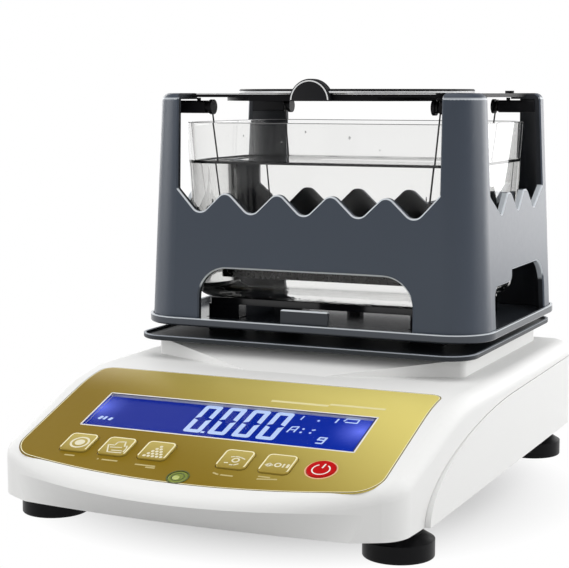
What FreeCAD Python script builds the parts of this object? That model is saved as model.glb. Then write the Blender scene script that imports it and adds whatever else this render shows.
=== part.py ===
import FreeCAD, Part
import math
import os

from FreeCAD import Placement, Rotation, Vector

# Electronic gold tester: a bench balance whose weighed carrier holds a wave-edged cage over a
# water tank, so that a piece of metal is weighed on the top tray and then in the water basket.
# Millimetres. +Z is up, the keys face -Y, and the origin is under the middle of the housing.

# ---------------------------------------------------------------- driving dimensions
RUN = 0.3               # gap between pieces on different bodies
SEAT = 0.1              # gap between a piece and the pocket that holds it
THREAD = 0.05           # radial gap of a screw thread that turns

HALF_WIDTH = 97.5       # housing
LENGTH = 281.0
FRONT = -LENGTH / 2     # its foremost and rearmost points
REAR = LENGTH / 2
SKIRT_Z = 13.5          # its underside
DECK_Z = 58.1           # flat top behind the console
WALL = 2.6
CHEEK_WALL = 3.2        # side walls of the lower shell
PARTING = 0.35          # groove between the two shells
SHOULDER = 7.0          # rounding of the top edges

SIDE_BOW = 1950.0       # the sides draw in towards the front on this radius
SIDE_BOW_Y = REAR - 135.5
CORNER = 15.0
REAR_CORNER = 11.0
SOLE_FRONT = FRONT + 13.2       # front edge at the skirt
SOLE_BOW = 1020.0
CREST_Z = 25.3                  # the overhanging front crest
CREST_BOW = 175.0

SLOPE = math.radians(18.6)      # console face
CONSOLE_Y = FRONT + 73.5        # a point of the console face
CONSOLE_Z = 51.9
BEND = 110.0                    # rounding between console face and deck

CHEEK_TIP_Y = FRONT + 49.5      # quarter ellipse where the lower shell's side ends
CHEEK_END_Y = REAR - 107.5
CHEEK_RISE = 35.0
CHEEK_REAR_Z = 49.8             # parting line at the rear wall

PANEL_HALF = HALF_WIDTH - 12.1  # front overlay
PANEL_TOP = FRONT + 101.5
PANEL_BOTTOM = FRONT + 10.7
PANEL_BOW = 375.0
PANEL_CORNER = 6.0
PANEL_LOW_CORNER = 13.0
PANEL_THICK = 0.5
WINDOW_HALF = 65.4              # display window
WINDOW_HEIGHT = 28.9
WINDOW_Y = FRONT + 59.3

KEY_Y = FRONT + 31.2            # row of keys
KEY_WIDTH = 13.6
KEY_HEIGHT = 13.9
KEY_CORNER = 2.4
KEY_CLEAR = 0.3
KEY_PROUD = 0.8
KEY_TRAVEL = 0.6
KEY_COLUMN_END = 57.1           # key centres, from the outermost inwards
KEY_COLUMN_MID = 38.0
KEY_COLUMN_IN = 18.6
POWER_KEY_R = 6.2

LEVEL_Y = FRONT + 15.3          # bubble level
LEVEL_R = 4.6

FOOT_X = HALF_WIDTH - 14.5      # levelling feet
FOOT_FRONT_Y = FRONT + 51.5
FOOT_REAR_Y = REAR - 29.5
FOOT_R = 15.0
FOOT_RIM_Z = 7.5
FOOT_TOP_Z = 10.6
FOOT_BEVEL = 5.0
STUD_R = 4.0
NUT_HALF = 6.5
NUT_HIGH = 6.5

BOSS_R = 4.0                    # screw bosses between the shells
HOUSING_SCREW_R = 1.5
SCREW_HEAD_R = 3.0
SCREW_HEAD_HIGH = 2.0

CARRIER_Y = REAR - 72.2         # centre of everything above the deck
PEDESTAL_HALF = 80.5
PEDESTAL_Z = 67.3
PEDESTAL_FRONT = CARRIER_Y - 64.3       # where the side facets start
PROW_HALF = 20.0
PROW_FRONT = CARRIER_Y - 89.3
PEDESTAL_REAR = CARRIER_Y + 59.7

DECK_PLATE_HALF = PEDESTAL_HALF + 6.5
DECK_PLATE_FRONT = CARRIER_Y - 79.3
DECK_PLATE_REAR = CARRIER_Y + 69.7
DECK_PLATE_SHEET = 1.2
DECK_PLATE_RIM = 2.5
DECK_PLATE_CORNER = 14.5
DECK_FLOOR = PEDESTAL_Z + DECK_PLATE_SHEET

CAGE_FOOT_HALF = 88.8           # cage, at its foot
CAGE_FOOT_DEPTH = 68.9
CAGE_FOOT_CORNER = 19.0
CAGE_TOP_HALF = 83.4
CAGE_TOP_DEPTH = 65.4
CAGE_TOP_CORNER = 16.0
CAGE_TOP_Z = 188.4
CAGE_WALL = 3.0
CAGE_ROUND = 4.0
BAY_HALF = CAGE_TOP_HALF - 15.4         # open bays between the columns, front and rear
BAY_SIDE = CAGE_TOP_DEPTH - 19.9        # and left and right
WAVE_PITCH = 27.9                       # waves of the bays' lower edges
WAVE_MARGIN = 10.0
WAVE_LOW = 128.7
WAVE_HIGH = 141.8
WAVE_ROUND = 5.0
SIDE_WAVE_LOW = 130.6
SIDE_WAVE_HIGH = 140.8
SIDE_WAVE_ROUND = 3.0
SIDE_WAVE_FLAT = 6.0                    # level crest of the side waves
EDGE_BREAK = 0.7                        # chamfer of the cage's outer edges
ARCH_HALF = CAGE_FOOT_HALF - 32.9       # low windows, front and rear
ARCH_Z = 103.2
ARCH_ROUND = 15.0
SIDE_ARCH_HALF = CAGE_FOOT_DEPTH - 26.1
SIDE_ARCH_ROUND = 13.8
SIDE_STEP_Y = -13.6
SIDE_STEP_Z = 97.6
SIDE_STEP_ROUND = 6.0

RIM_THICK = 1.2
PLATE_HALF = CAGE_FOOT_HALF + RIM_THICK + 0.5           # weighed plate
PLATE_HALF_DEPTH = CAGE_FOOT_DEPTH + RIM_THICK + 0.9
PLATE_CORNER = CAGE_FOOT_CORNER + RIM_THICK + 1.3
PLATE_Z = 74.0
PLATE_SHEET = 1.2
PLATE_RIM = 4.1
PLATE_FLOOR = PLATE_Z + PLATE_SHEET
CAGE_LOW_Z = PLATE_FLOOR + RUN
CAGE_FRONT_Y = CARRIER_Y - CAGE_FOOT_DEPTH
LUG_X = 0.8                             # locating block of the plate
LUG_HALF = 12.3
LUG_DEEP = 2.5
LUG_Z = 84.8

TRAY_Z = CAGE_TOP_Z - 2.0               # top tray
TRAY_SHEET = 1.9
TRAY_GAP = 0.7
TRAY_WING = CAGE_TOP_HALF - 6.8
TRAY_FRONT = CAGE_TOP_DEPTH - 8.4
DISH_R = TRAY_FRONT + 3.0
DISH_RIM = 2.2
DISH_UP = 2.1
SADDLE_R = DISH_R + 6.0
SADDLE_DROP = 1.8
TAB_R = 10.6
TAB_THICK = 2.0
TAB_PROUD = 0.6
CAP_R = 2.3
CAP_HIGH = 1.3

ARM_Y = BAY_SIDE + 1.8                  # hook arms
ARM_Z = TRAY_Z - 4.8
ARM_HIGH = 6.3
ARM_DEEP = 5.6
ARM_ROUND = 1.2
ARM_END = CAGE_TOP_HALF - 25.8
FLANGE_R = 3.7
FLANGE_THICK = 1.7
NECK_R = 2.6
NECK_X = ARM_END + FLANGE_THICK
NECK_LONG = 2.2
REST_PIN_X = BAY_HALF - 2.0
REST_PIN_R = 1.0
WIRE_R = 0.4

TANK_HALF = CAGE_TOP_HALF - CAGE_WALL - 3.4             # water tank, at its rim
TANK_DEPTH = CAGE_TOP_DEPTH - CAGE_WALL - 7.9
TANK_TAPER = 4.0
TANK_CORNER = 19.0
TANK_WALL = 2.4
TANK_HEEL = 7.0                         # rounding between its walls and floor
TANK_FLOOR_Z = 85.6
TANK_RIM_Z = ARM_Z - 7.6
TABLE_TOP_Z = TANK_FLOOR_Z - RUN
TABLE_SHEET = 3.2
TABLE_HALF = TANK_HALF - TANK_TAPER - 10.0
TABLE_DEPTH = TANK_DEPTH - TANK_TAPER - 7.0
LEG_WIDE = 17.0
LEG_DEEP = 8.0
LEG_GAP = 1.2                           # room round a leg where it passes the weighed plate

BASKET_HALF = TANK_HALF - TANK_TAPER - TANK_WALL - 14.6         # water basket
BASKET_DEPTH = TANK_DEPTH - TANK_TAPER - TANK_WALL - 8.1
BASKET_CORNER = 3.0
BASKET_Z = 96.5
BASKET_LIP = 9.0
BASKET_SHEET = 0.8
BASKET_HOLE_R = 2.6
BASKET_HOLE_PITCH = 14.0
BASKET_MARGIN = 10.0

POST_R = 7.0                            # post between load cell and weighed plate
POST_HOLE = 11.0
CELL_LENGTH = 80.0
CELL_WIDE = 22.0
CELL_HIGH = 16.0
CELL_Z = 30.0
CELL_FRONT = CARRIER_Y - CELL_LENGTH + 12
CELL_REAR = CELL_FRONT + CELL_LENGTH
CELL_BOLT_X = 6.0                       # bolt holes, from the middle and from the beam's ends
CELL_BOLT_Y = 8.0
DEFLECTION = 0.3

FLOOR_TOP = SKIRT_Z + WALL
BOARD_THICK = 1.6
BOARD_X = 21.5 - HALF_WIDTH       # main board's front left corner
BOARD_Y = CARRIER_Y - 68.3
BOARD_Z = FLOOR_TOP + 5
BOARD_WIDE = 54.0
BOARD_LONG = 70.0
PACK_X = 24.0                           # battery's front left corner
PACK_Y = CARRIER_Y - 78.3
PACK_WIDE = 50.0
PACK_LONG = 56.0
PACK_HIGH = 26.0

SOCKET_X = 29.5 - HALF_WIDTH            # sockets in the rear wall
SOCKET_R = 5.0
PORT_X = 30.0
PORT_HALF = 9.0
PORT_TALL = 5.0
REAR_PORT_Z = 30.0

SLOPE_DEG = math.degrees(SLOPE)
BEND_MEET_Y = CONSOLE_Y + (DECK_Z - CONSOLE_Z) / math.tan(SLOPE)


# ---------------------------------------------------------------- drawing helpers
def place(plane, u, v, at):
    """A point of a drawing on plane XY, XZ or YZ, at the given distance along its normal."""
    if plane == "XY":
        return Vector(u, v, at)
    if plane == "XZ":
        return Vector(u, at, v)
    return Vector(at, u, v)


def outline(corners, plane, at):
    """Closed wire through (u, v, radius) corners, each rounded by a tangent arc of its radius."""
    edges = []
    ends = []
    for i, (u, v, radius) in enumerate(corners):
        here = Vector(u, v, 0)
        before = Vector(*corners[i - 1][:2], 0)
        after = Vector(*corners[(i + 1) % len(corners)][:2], 0)
        back = (before - here).normalize()
        ahead = (after - here).normalize()
        if radius == 0:
            ends.append((here, here, None))
            continue
        half = back.getAngle(ahead) / 2
        reach = radius / math.tan(half)
        middle = (back + ahead).normalize() * (radius / math.sin(half))
        crown = here + middle - middle.normalize() * radius
        ends.append((here + back * reach, here + ahead * reach, crown))
    for i, (start, end, crown) in enumerate(ends):
        if crown is not None:
            points = [place(plane, p.x, p.y, at) for p in (start, crown, end)]
            edges.append(Part.Arc(*points).toShape())
        onward = ends[(i + 1) % len(ends)][0]
        if end.distanceToPoint(onward) > 1e-6:
            line = [place(plane, p.x, p.y, at) for p in (end, onward)]
            edges.append(Part.LineSegment(*line).toShape())
    return Part.Wire(edges)


def rectangle(half_u, low_v, high_v, radius):
    """Corners of a rectangle centred on u = 0."""
    return [(-half_u, low_v, radius), (half_u, low_v, radius),
            (half_u, high_v, radius), (-half_u, high_v, radius)]


def slab(corners, plane, low, high):
    """Prism of an outline between two levels along the plane's normal."""
    face = Part.Face(outline(corners, plane, low))
    return face.extrude(place(plane, 0, 0, high - low))


def rod(radius, start, end):
    """Round bar between two points."""
    run = end - start
    return Part.makeCylinder(radius, run.Length, start, run)


def upright(radius, x, y, low, high):
    return rod(radius, Vector(x, y, low), Vector(x, y, high))


def bar(x_low, x_high, y_low, y_high, z_low, z_high):
    return Part.makeBox(x_high - x_low, y_high - y_low, z_high - z_low, Vector(x_low, y_low, z_low))


def fused(shapes):
    first = shapes[0]
    if len(shapes) == 1:
        return first
    return first.multiFuse(shapes[1:]).removeSplitter()


def mirrored(shape):
    """The shape's twin on the other side of the housing's middle plane."""
    return shape.mirror(Vector(0, 0, 0), Vector(1, 0, 0))


def rounded(shape, radius, picked):
    """Fillets the edges for which picked(edge) is true."""
    return shape.makeFillet(radius, [edge for edge in shape.Edges if picked(edge)])


def console_z(y):
    return CONSOLE_Z + (y - CONSOLE_Y) * math.tan(SLOPE)


def on_console(shape, x, y):
    """Stands a shape drawn about the origin, +Z outwards, on the sloping console face."""
    shape = shape.copy()
    shape.Placement = Placement(Vector(x, y, console_z(y)), Rotation(Vector(1, 0, 0), SLOPE_DEG))
    return shape


# ---------------------------------------------------------------- housing shells
def circle_crossing(first, first_r, second, second_r):
    """The crossing of two circles that lies furthest towards -Y."""
    gap = second - first
    along = (gap.Length ** 2 + first_r ** 2 - second_r ** 2) / (2 * gap.Length)
    across = math.sqrt(first_r ** 2 - along ** 2)
    unit = gap.normalize()
    normal = Vector(-unit.y, unit.x, 0)
    points = [first + unit * along + normal * side * across for side in (1, -1)]
    return min(points, key=lambda p: p.y)


def housing_section(z, front, bow, inset):
    """Level outline of the housing: bowed front, drawn-in sides, round corners."""
    side = HALF_WIDTH - 0.1 - inset
    rear = REAR - inset
    front = front + inset
    corner = CORNER - inset
    rear_corner = REAR_CORNER - inset
    bow_mid = Vector(0, front + bow, 0)
    side_mid = Vector(side - SIDE_BOW, SIDE_BOW_Y, 0)
    centre = circle_crossing(side_mid, SIDE_BOW - corner, bow_mid, bow - corner)
    to_side = centre + (centre - side_mid).normalize() * corner
    to_front = centre + (centre - bow_mid).normalize() * corner
    crown = centre + (to_side + to_front - centre * 2).normalize() * corner
    mid_angle = ((to_side - side_mid).getAngle(Vector(1, 0, 0))) / 2
    side_crown = side_mid + Vector(math.cos(mid_angle), -math.sin(mid_angle), 0) * SIDE_BOW
    bevel = rear_corner * (1 - math.sqrt(0.5))

    def up(point, hand):
        return Vector(point.x * hand, point.y, z)

    def line(start, end):
        return Part.LineSegment(start, end).toShape()

    def arc(start, middle, end):
        return Part.Arc(start, middle, end).toShape()

    level = Vector(side, SIDE_BOW_Y, 0)
    back_low = Vector(side, rear - rear_corner, 0)
    back_mid = Vector(side - bevel, rear - bevel, 0)
    back_high = Vector(side - rear_corner, rear, 0)
    nose = Vector(0, front, z)
    return Part.Wire([
        line(up(back_high, -1), up(back_high, 1)),
        arc(up(back_high, 1), up(back_mid, 1), up(back_low, 1)),
        line(up(back_low, 1), up(level, 1)),
        arc(up(level, 1), up(side_crown, 1), up(to_side, 1)),
        arc(up(to_side, 1), up(crown, 1), up(to_front, 1)),
        arc(up(to_front, 1), nose, up(to_front, -1)),
        arc(up(to_front, -1), up(crown, -1), up(to_side, -1)),
        arc(up(to_side, -1), up(side_crown, -1), up(level, -1)),
        line(up(level, -1), up(back_low, -1)),
        arc(up(back_low, -1), up(back_mid, -1), up(back_high, -1)),
    ])


def roof_profile(drop, low):
    """Side-view prism below the deck, the bend and the console face, lowered by drop."""
    past = 10.0
    sink = drop / math.cos(SLOPE)
    front_y = FRONT - past
    meet_y = BEND_MEET_Y + drop * math.tan(SLOPE / 2)
    corners = [
        (REAR + past, low, 0),
        (REAR + past, DECK_Z - drop, 0),
        (meet_y, DECK_Z - drop, BEND - drop),
        (front_y, console_z(front_y) - sink, 0),
        (front_y, low, 0),
    ]
    return slab(corners, "YZ", -HALF_WIDTH - past, HALF_WIDTH + past)


def nose_front():
    """Front of the outline before rounding, so that the rounded nose reaches the full length."""
    tangent = SHOULDER * math.tan((math.pi / 2 - SLOPE) / 2)
    front = FRONT
    for _ in range(30):
        rise = max(CREST_Z - console_z(front) + tangent, 0)
        front = FRONT - SHOULDER + math.sqrt(SHOULDER ** 2 - rise ** 2)
    return front


def housing_form(inset, shoulder):
    """The whole housing as one solid, with its faces moved in by inset."""
    top = DECK_Z + 10
    nose = nose_front()
    upper = Part.Face(housing_section(SKIRT_Z, nose, CREST_BOW, inset))
    upper = upper.extrude(Vector(0, 0, top - SKIRT_Z)).common(roof_profile(inset, SKIRT_Z - 5))

    def on_top_edge(edge):
        mid = edge.valueAt((edge.FirstParameter + edge.LastParameter) / 2)
        if abs(mid.x) < 0.1 and FRONT + 10 < mid.y < REAR - 10:
            return False
        return mid.z > console_z(FRONT) - inset * 1.5 - 4 and edge.BoundBox.ZMin > SKIRT_Z + 5

    if shoulder > 0:
        upper = rounded(upper, shoulder, on_top_edge)
    # The waist undercuts the front between crest and skirt; its other sides stand just clear.
    free = inset - 0.05
    waist = Part.makeLoft([
        housing_section(SKIRT_Z - 1, SOLE_FRONT, SOLE_BOW, free),
        housing_section(CREST_Z, nose, CREST_BOW, free),
        housing_section(top + 1, nose, CREST_BOW, free),
    ], True, True)
    return upper.common(waist)


def cheek_profile(grow, low):
    """Side-view prism of the region that the lower shell's sides fill, grown by grow."""
    span = HALF_WIDTH + 20
    centre = Vector(-span, CHEEK_END_Y, SKIRT_Z)
    crown = centre + Vector(0, 0, CHEEK_RISE + grow)
    tip = centre - Vector(0, CHEEK_END_Y - CHEEK_TIP_Y + grow, 0)
    arc = Part.ArcOfEllipse(Part.Ellipse(tip, crown, centre), 0, math.pi / 2).toShape()
    past = REAR + 10
    slope = (CHEEK_REAR_Z - SKIRT_Z - CHEEK_RISE) / (REAR - CHEEK_END_Y)
    rear_top = Vector(-span, past, crown.z + slope * (past - CHEEK_END_Y))
    rear_low = Vector(-span, past, low)
    tip_low = Vector(-span, tip.y, low)
    points = [crown, rear_top, rear_low, tip_low, tip]
    lines = [Part.LineSegment(a, b).toShape() for a, b in zip(points, points[1:])]
    return Part.Face(Part.Wire([arc] + lines)).extrude(Vector(2 * span, 0, 0))


def pedestal_form(inset):
    """The raised block under the deck plate, with its prow cut by a ramp."""
    half = PEDESTAL_HALF - inset
    ramp_rise = (PEDESTAL_Z - DECK_Z) / math.tan(SLOPE)
    corners = [
        (-half, PEDESTAL_REAR - inset, 8 - inset),
        (-half, PEDESTAL_FRONT + inset, 4 - inset),
        (-PROW_HALF, PROW_FRONT + inset, 0),
        (PROW_HALF, PROW_FRONT + inset, 0),
        (half, PEDESTAL_FRONT + inset, 4 - inset),
        (half, PEDESTAL_REAR - inset, 8 - inset),
    ]
    low = DECK_Z - 6
    block = slab(corners, "XY", low, PEDESTAL_Z - inset)
    front = PROW_FRONT + inset - 1
    foot_z = DECK_Z - inset - math.tan(SLOPE)
    ramp = slab([
        (front, foot_z, 0),
        (front, PEDESTAL_Z + 5, 0),
        (front + ramp_rise + 20, PEDESTAL_Z + 5, 0),
        (front + ramp_rise + 20, foot_z + (ramp_rise + 20) * math.tan(SLOPE), 0),
    ], "YZ", -HALF_WIDTH, HALF_WIDTH)
    return block.cut(ramp)


BOSS_SITES = [
    (sx * (HALF_WIDTH - inset), y)
    for inset, y in ((17.5, FRONT + 70.5), (13.5, REAR - 80.5), (47.5, REAR - 9.5)) for sx in (-1, 1)
]


def top_cover():
    outer = housing_form(0, SHOULDER)
    inner = housing_form(WALL, SHOULDER - WALL)
    below = bar(-HALF_WIDTH, HALF_WIDTH, FRONT, REAR, SKIRT_Z - 10, SKIRT_Z + 0.01)
    shell = outer.fuse(pedestal_form(0)).cut(inner.fuse(pedestal_form(WALL)).fuse(below))
    bosses = [
        upright(BOSS_R, x, y, FLOOR_TOP + 0.1, DECK_Z).common(outer)
        for x, y in BOSS_SITES
    ]
    shell = fused([shell.cut(cheek_profile(PARTING, SKIRT_Z - 5))] + bosses)
    for x, y in BOSS_SITES:
        shell = shell.cut(upright(HOUSING_SCREW_R, x, y, FLOOR_TOP, FLOOR_TOP + 12))
    pocket = panel_band(0, PANEL_THICK + SEAT, SEAT)
    shell = shell.cut(pocket)
    for cutter in console_openings(KEY_CLEAR):
        shell = shell.cut(cutter)
    shell = shell.cut(upright(POST_HOLE, 0, CARRIER_Y, DECK_Z - 6, PEDESTAL_Z + 1))
    for x, y in DECK_SCREW_SITES:
        shell = shell.cut(upright(HOUSING_SCREW_R, x, y, DECK_Z - 6, PEDESTAL_Z + 1))
    return shell


def bottom_shell():
    sides = slab(rectangle(HALF_WIDTH, FRONT, REAR, REAR_CORNER), "XY", SKIRT_Z, DECK_Z)
    sides = sides.common(cheek_profile(0, SKIRT_Z - 5))
    hollow = slab(rectangle(HALF_WIDTH - CHEEK_WALL, FRONT - 20, REAR - WALL, REAR_CORNER - WALL),
                  "XY", FLOOR_TOP, DECK_Z)
    sides = sides.cut(hollow)
    rise = Vector(0, 0, FLOOR_TOP - SKIRT_Z - 0.4)
    floor = [
        Part.Face(housing_section(SKIRT_Z + 0.4, front, bow, WALL + 0.3)).extrude(rise)
        for front, bow in ((SOLE_FRONT, SOLE_BOW), (nose_front(), CREST_BOW))
    ]
    floor = floor[0].common(floor[1])
    shell = fused([sides, floor])
    for x, y in BOSS_SITES:
        shell = shell.cut(upright(HOUSING_SCREW_R + 0.3, x, y, SKIRT_Z - 1, FLOOR_TOP + 1))
        shell = shell.cut(upright(SCREW_HEAD_R + 0.3, x, y, SKIRT_Z - 1, SKIRT_Z + 0.8))
    for x, y in FOOT_SITES.values():
        shell = shell.cut(upright(STUD_R + 0.6, x, y, SKIRT_Z - 1, FLOOR_TOP + 1))
    shell = shell.cut(socket_hole(0.1)).cut(port_hole(0.1))
    return shell


def housing_screws():
    screws = []
    for x, y in BOSS_SITES:
        head = upright(SCREW_HEAD_R, x, y, SKIRT_Z + 0.8 - SCREW_HEAD_HIGH + 1.2, SKIRT_Z + 0.8)
        shank = upright(HOUSING_SCREW_R - 0.05, x, y, SKIRT_Z + 0.8, FLOOR_TOP + 10)
        screws.append(fused([head, shank]))
    return Part.makeCompound(screws)


# ---------------------------------------------------------------- console
def panel_corners(grow):
    """Plan outline of the front overlay, before its lower edge is bowed."""
    half = PANEL_HALF + grow
    return [(-half, PANEL_BOTTOM - 20, 0), (half, PANEL_BOTTOM - 20, 0),
            (half, PANEL_TOP + grow, PANEL_CORNER), (-half, PANEL_TOP + grow, PANEL_CORNER)]


def panel_prism(grow):
    """Vertical prism of the overlay's plan, with a bowed lower edge and round corners."""
    sheet = slab(panel_corners(grow), "XY", SKIRT_Z, DECK_Z + 10)
    disc = upright(PANEL_BOW + grow, 0, PANEL_BOTTOM + PANEL_BOW, SKIRT_Z, DECK_Z + 10)
    sheet = sheet.common(disc)

    def lower_corner(edge):
        ends = [vertex.Point for vertex in edge.Vertexes]
        return all(abs(p.x) > PANEL_HALF - 2 and p.y < PANEL_BOTTOM + 20 for p in ends) \
            and ends[0].distanceToPoint(ends[-1]) > 20

    return rounded(sheet, PANEL_LOW_CORNER, lower_corner)


def panel_band(top, bottom, grow):
    """A sheet under the console surface, between two depths."""
    roof = roof_profile(top, 0)
    floor = roof_profile(bottom, -5)
    return roof.cut(floor).common(panel_prism(grow))


KEY_SITES = {
    "key_set": -KEY_COLUMN_END,
    "key_print": -KEY_COLUMN_MID,
    "key_count": -KEY_COLUMN_IN,
    "key_mode": KEY_COLUMN_IN,
    "key_zero": KEY_COLUMN_MID,
}
CONSOLE_DEPTH = 6.0


def console_openings(clear):
    """Cutters for the keys, the display and the level, on the console face."""
    window = slab(rectangle(WINDOW_HALF, -WINDOW_HEIGHT / 2, WINDOW_HEIGHT / 2, 1.0), "XY",
                  -CONSOLE_DEPTH, CONSOLE_DEPTH)
    cutters = [on_console(window, 0, WINDOW_Y)]
    half = KEY_WIDTH / 2 + clear
    tall = KEY_HEIGHT / 2 + clear
    for x in KEY_SITES.values():
        hole = slab(rectangle(half, -tall, tall, KEY_CORNER + clear), "XY", -CONSOLE_DEPTH, CONSOLE_DEPTH)
        cutters.append(on_console(hole, x, KEY_Y))
    round_hole = upright(POWER_KEY_R + clear, 0, 0, -CONSOLE_DEPTH, CONSOLE_DEPTH)
    cutters.append(on_console(round_hole, KEY_COLUMN_END, KEY_Y))
    level_hole = upright(LEVEL_R + SEAT, 0, 0, -CONSOLE_DEPTH, CONSOLE_DEPTH)
    cutters.append(on_console(level_hole, 0, LEVEL_Y))
    return cutters


def panel_overlay():
    sheet = panel_band(0, PANEL_THICK, 0)
    for cutter in console_openings(KEY_CLEAR):
        sheet = sheet.cut(cutter)
    return sheet


FLANGE_TOP = -(PANEL_THICK + WALL) - 0.1    # underside of the cover at the console, plus a gap
FLANGE_HIGH = 1.0
FLANGE_OUT = 1.2
SWITCH_HIGH = 3.5
KEY_STEM_LOW = FLANGE_TOP - FLANGE_HIGH - 1.2
SWITCH_TOP = KEY_STEM_LOW - KEY_TRAVEL - RUN
KEY_BOARD_TOP = SWITCH_TOP - SWITCH_HIGH


def square_key(name):
    """Key cap with a retaining flange under the cover and a stem over its switch."""
    cap = slab(rectangle(KEY_WIDTH / 2, -KEY_HEIGHT / 2, KEY_HEIGHT / 2, KEY_CORNER), "XY",
               FLANGE_TOP, KEY_PROUD)
    cap = rounded(cap, 0.5, lambda edge: edge.BoundBox.ZMin > KEY_PROUD - 0.01)
    flange = slab(rectangle(KEY_WIDTH / 2 + FLANGE_OUT, -KEY_HEIGHT / 2 - FLANGE_OUT,
                            KEY_HEIGHT / 2 + FLANGE_OUT, KEY_CORNER), "XY",
                  FLANGE_TOP - FLANGE_HIGH, FLANGE_TOP)
    stem = upright(2.0, 0, 0, KEY_STEM_LOW, FLANGE_TOP)
    return on_console(fused([cap, flange, stem]), KEY_SITES[name], KEY_Y)


def power_key():
    """Round red key, slightly domed."""
    cap = upright(POWER_KEY_R, 0, 0, FLANGE_TOP, KEY_PROUD)
    cap = rounded(cap, 0.6, lambda edge: edge.BoundBox.ZMin > KEY_PROUD - 0.01)
    flange = upright(POWER_KEY_R + FLANGE_OUT, 0, 0, FLANGE_TOP - FLANGE_HIGH, FLANGE_TOP)
    stem = upright(2.0, 0, 0, KEY_STEM_LOW, FLANGE_TOP)
    return on_console(fused([cap, flange, stem]), KEY_COLUMN_END, KEY_Y)


def key_board():
    board = slab(rectangle(KEY_COLUMN_END + 12.9, -11, 11, 1.0), "XY", KEY_BOARD_TOP - BOARD_THICK,
                 KEY_BOARD_TOP)
    posts = [
        upright(1.6, hand * x, 9.0, KEY_BOARD_TOP, -WALL - PANEL_THICK)
        for x in (KEY_COLUMN_END + 9.7, (KEY_COLUMN_MID + KEY_COLUMN_IN) / 2) for hand in (-1, 1)
    ]
    return on_console(fused([board] + posts), 0, KEY_Y)


def key_switches():
    sites = list(KEY_SITES.values()) + [KEY_COLUMN_END]
    return Part.makeCompound([
        on_console(slab(rectangle(3.0, -3.0, 3.0, 0), "XY", KEY_BOARD_TOP, SWITCH_TOP), x, KEY_Y)
        for x in sites
    ])


def display_window():
    """Clear lens in the console, flush with the overlay."""
    lens = slab(rectangle(WINDOW_HALF - SEAT, -WINDOW_HEIGHT / 2 + SEAT, WINDOW_HEIGHT / 2 - SEAT, 0.9),
                "XY", -1.9, -0.4)
    return on_console(lens, 0, WINDOW_Y)


LCD_TOP = -2.2
LCD_THICK = 7.0


def lcd_module():
    """Backlit segment display under the lens, on its own small frame."""
    tall = WINDOW_HEIGHT / 2
    glass = slab(rectangle(WINDOW_HALF - 0.4, 0.4 - tall, tall - 0.4, 0.5), "XY", -WALL - 1.0, LCD_TOP)
    frame = slab(rectangle(WINDOW_HALF + 4, -tall - 3, tall + 0.4, 1.5), "XY",
                 LCD_TOP - LCD_THICK, -WALL - 0.2)
    return on_console(fused([glass, frame]), 0, WINDOW_Y)


def level_vial():
    """Round spirit level, its clear dome flush with the overlay."""
    body = upright(LEVEL_R, 0, 0, -5.0, 0.1)
    body = rounded(body, 0.8, lambda edge: edge.BoundBox.ZMin > 0)
    return on_console(body, 0, LEVEL_Y)


def level_cup():
    cup = upright(LEVEL_R + 1.6, 0, 0, -6.2, -WALL - PANEL_THICK + 0.1)
    cup = cup.cut(upright(LEVEL_R + SEAT, 0, 0, -5.1, 0))
    cup = on_console(cup, 0, LEVEL_Y)
    return cup.cut(top_cover_mass())


def top_cover_mass():
    """The cover's wall without bosses, for pieces that seat against its underside."""
    return housing_form(0, 0).cut(housing_form(WALL, 0))


# ---------------------------------------------------------------- feet
FOOT_SITES = {
    "fl": (-FOOT_X, FOOT_FRONT_Y),
    "fr": (FOOT_X, FOOT_FRONT_Y),
    "rl": (-FOOT_X, FOOT_REAR_Y),
    "rr": (FOOT_X, FOOT_REAR_Y),
}


def foot_pad(name):
    """Turned foot with a bevelled top, bored for its stud."""
    x, y = FOOT_SITES[name]
    skirt = upright(FOOT_R, x, y, 0, FOOT_RIM_Z)
    rim = Vector(x, y, FOOT_RIM_Z)
    cap = Part.makeCone(FOOT_R, FOOT_R - FOOT_BEVEL, FOOT_TOP_Z - FOOT_RIM_Z, rim, Vector(0, 0, 1))
    pad = fused([skirt, cap])
    pad = rounded(pad, 0.8, lambda edge: edge.BoundBox.ZMax < 0.01)
    return pad.cut(upright(STUD_R + THREAD, x, y, 3.0, FOOT_TOP_Z + 1))


def foot_stud(name):
    x, y = FOOT_SITES[name]
    return upright(STUD_R, x, y, 3.1, FLOOR_TOP + NUT_HIGH + 4)


def foot_nuts():
    """Hexagon nuts moulded into the floor, in which the studs turn."""
    nuts = []
    for x, y in FOOT_SITES.values():
        points = [
            Vector(x + NUT_HALF * math.cos(math.radians(60 * i)),
                   y + NUT_HALF * math.sin(math.radians(60 * i)), FLOOR_TOP)
            for i in range(7)
        ]
        nut = Part.Face(Part.makePolygon(points)).extrude(Vector(0, 0, NUT_HIGH))
        nuts.append(nut.cut(upright(STUD_R + THREAD, x, y, FLOOR_TOP - 1, FLOOR_TOP + NUT_HIGH + 1)))
    return Part.makeCompound(nuts)


# ---------------------------------------------------------------- weighing works
def load_cell():
    """Aluminium bending beam with its twin-bore window."""
    beam = bar(-CELL_WIDE / 2, CELL_WIDE / 2, CELL_FRONT, CELL_REAR, CELL_Z, CELL_Z + CELL_HIGH)
    mid_z = CELL_Z + CELL_HIGH / 2
    mid_y = (CELL_FRONT + CELL_REAR) / 2
    for shift in (-9, 9):
        beam = beam.cut(rod(6, Vector(-20, mid_y + shift, mid_z), Vector(20, mid_y + shift, mid_z)))
    beam = beam.cut(bar(-20, 20, mid_y - 9, mid_y + 9, mid_z - 2, mid_z + 2))
    for x in (-CELL_BOLT_X, CELL_BOLT_X):
        for y in (CELL_FRONT + CELL_BOLT_Y, CELL_REAR - CELL_BOLT_Y):
            beam = beam.cut(upright(2.1, x, y, CELL_Z - 1, CELL_Z + CELL_HIGH + 1))
    return beam


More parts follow.
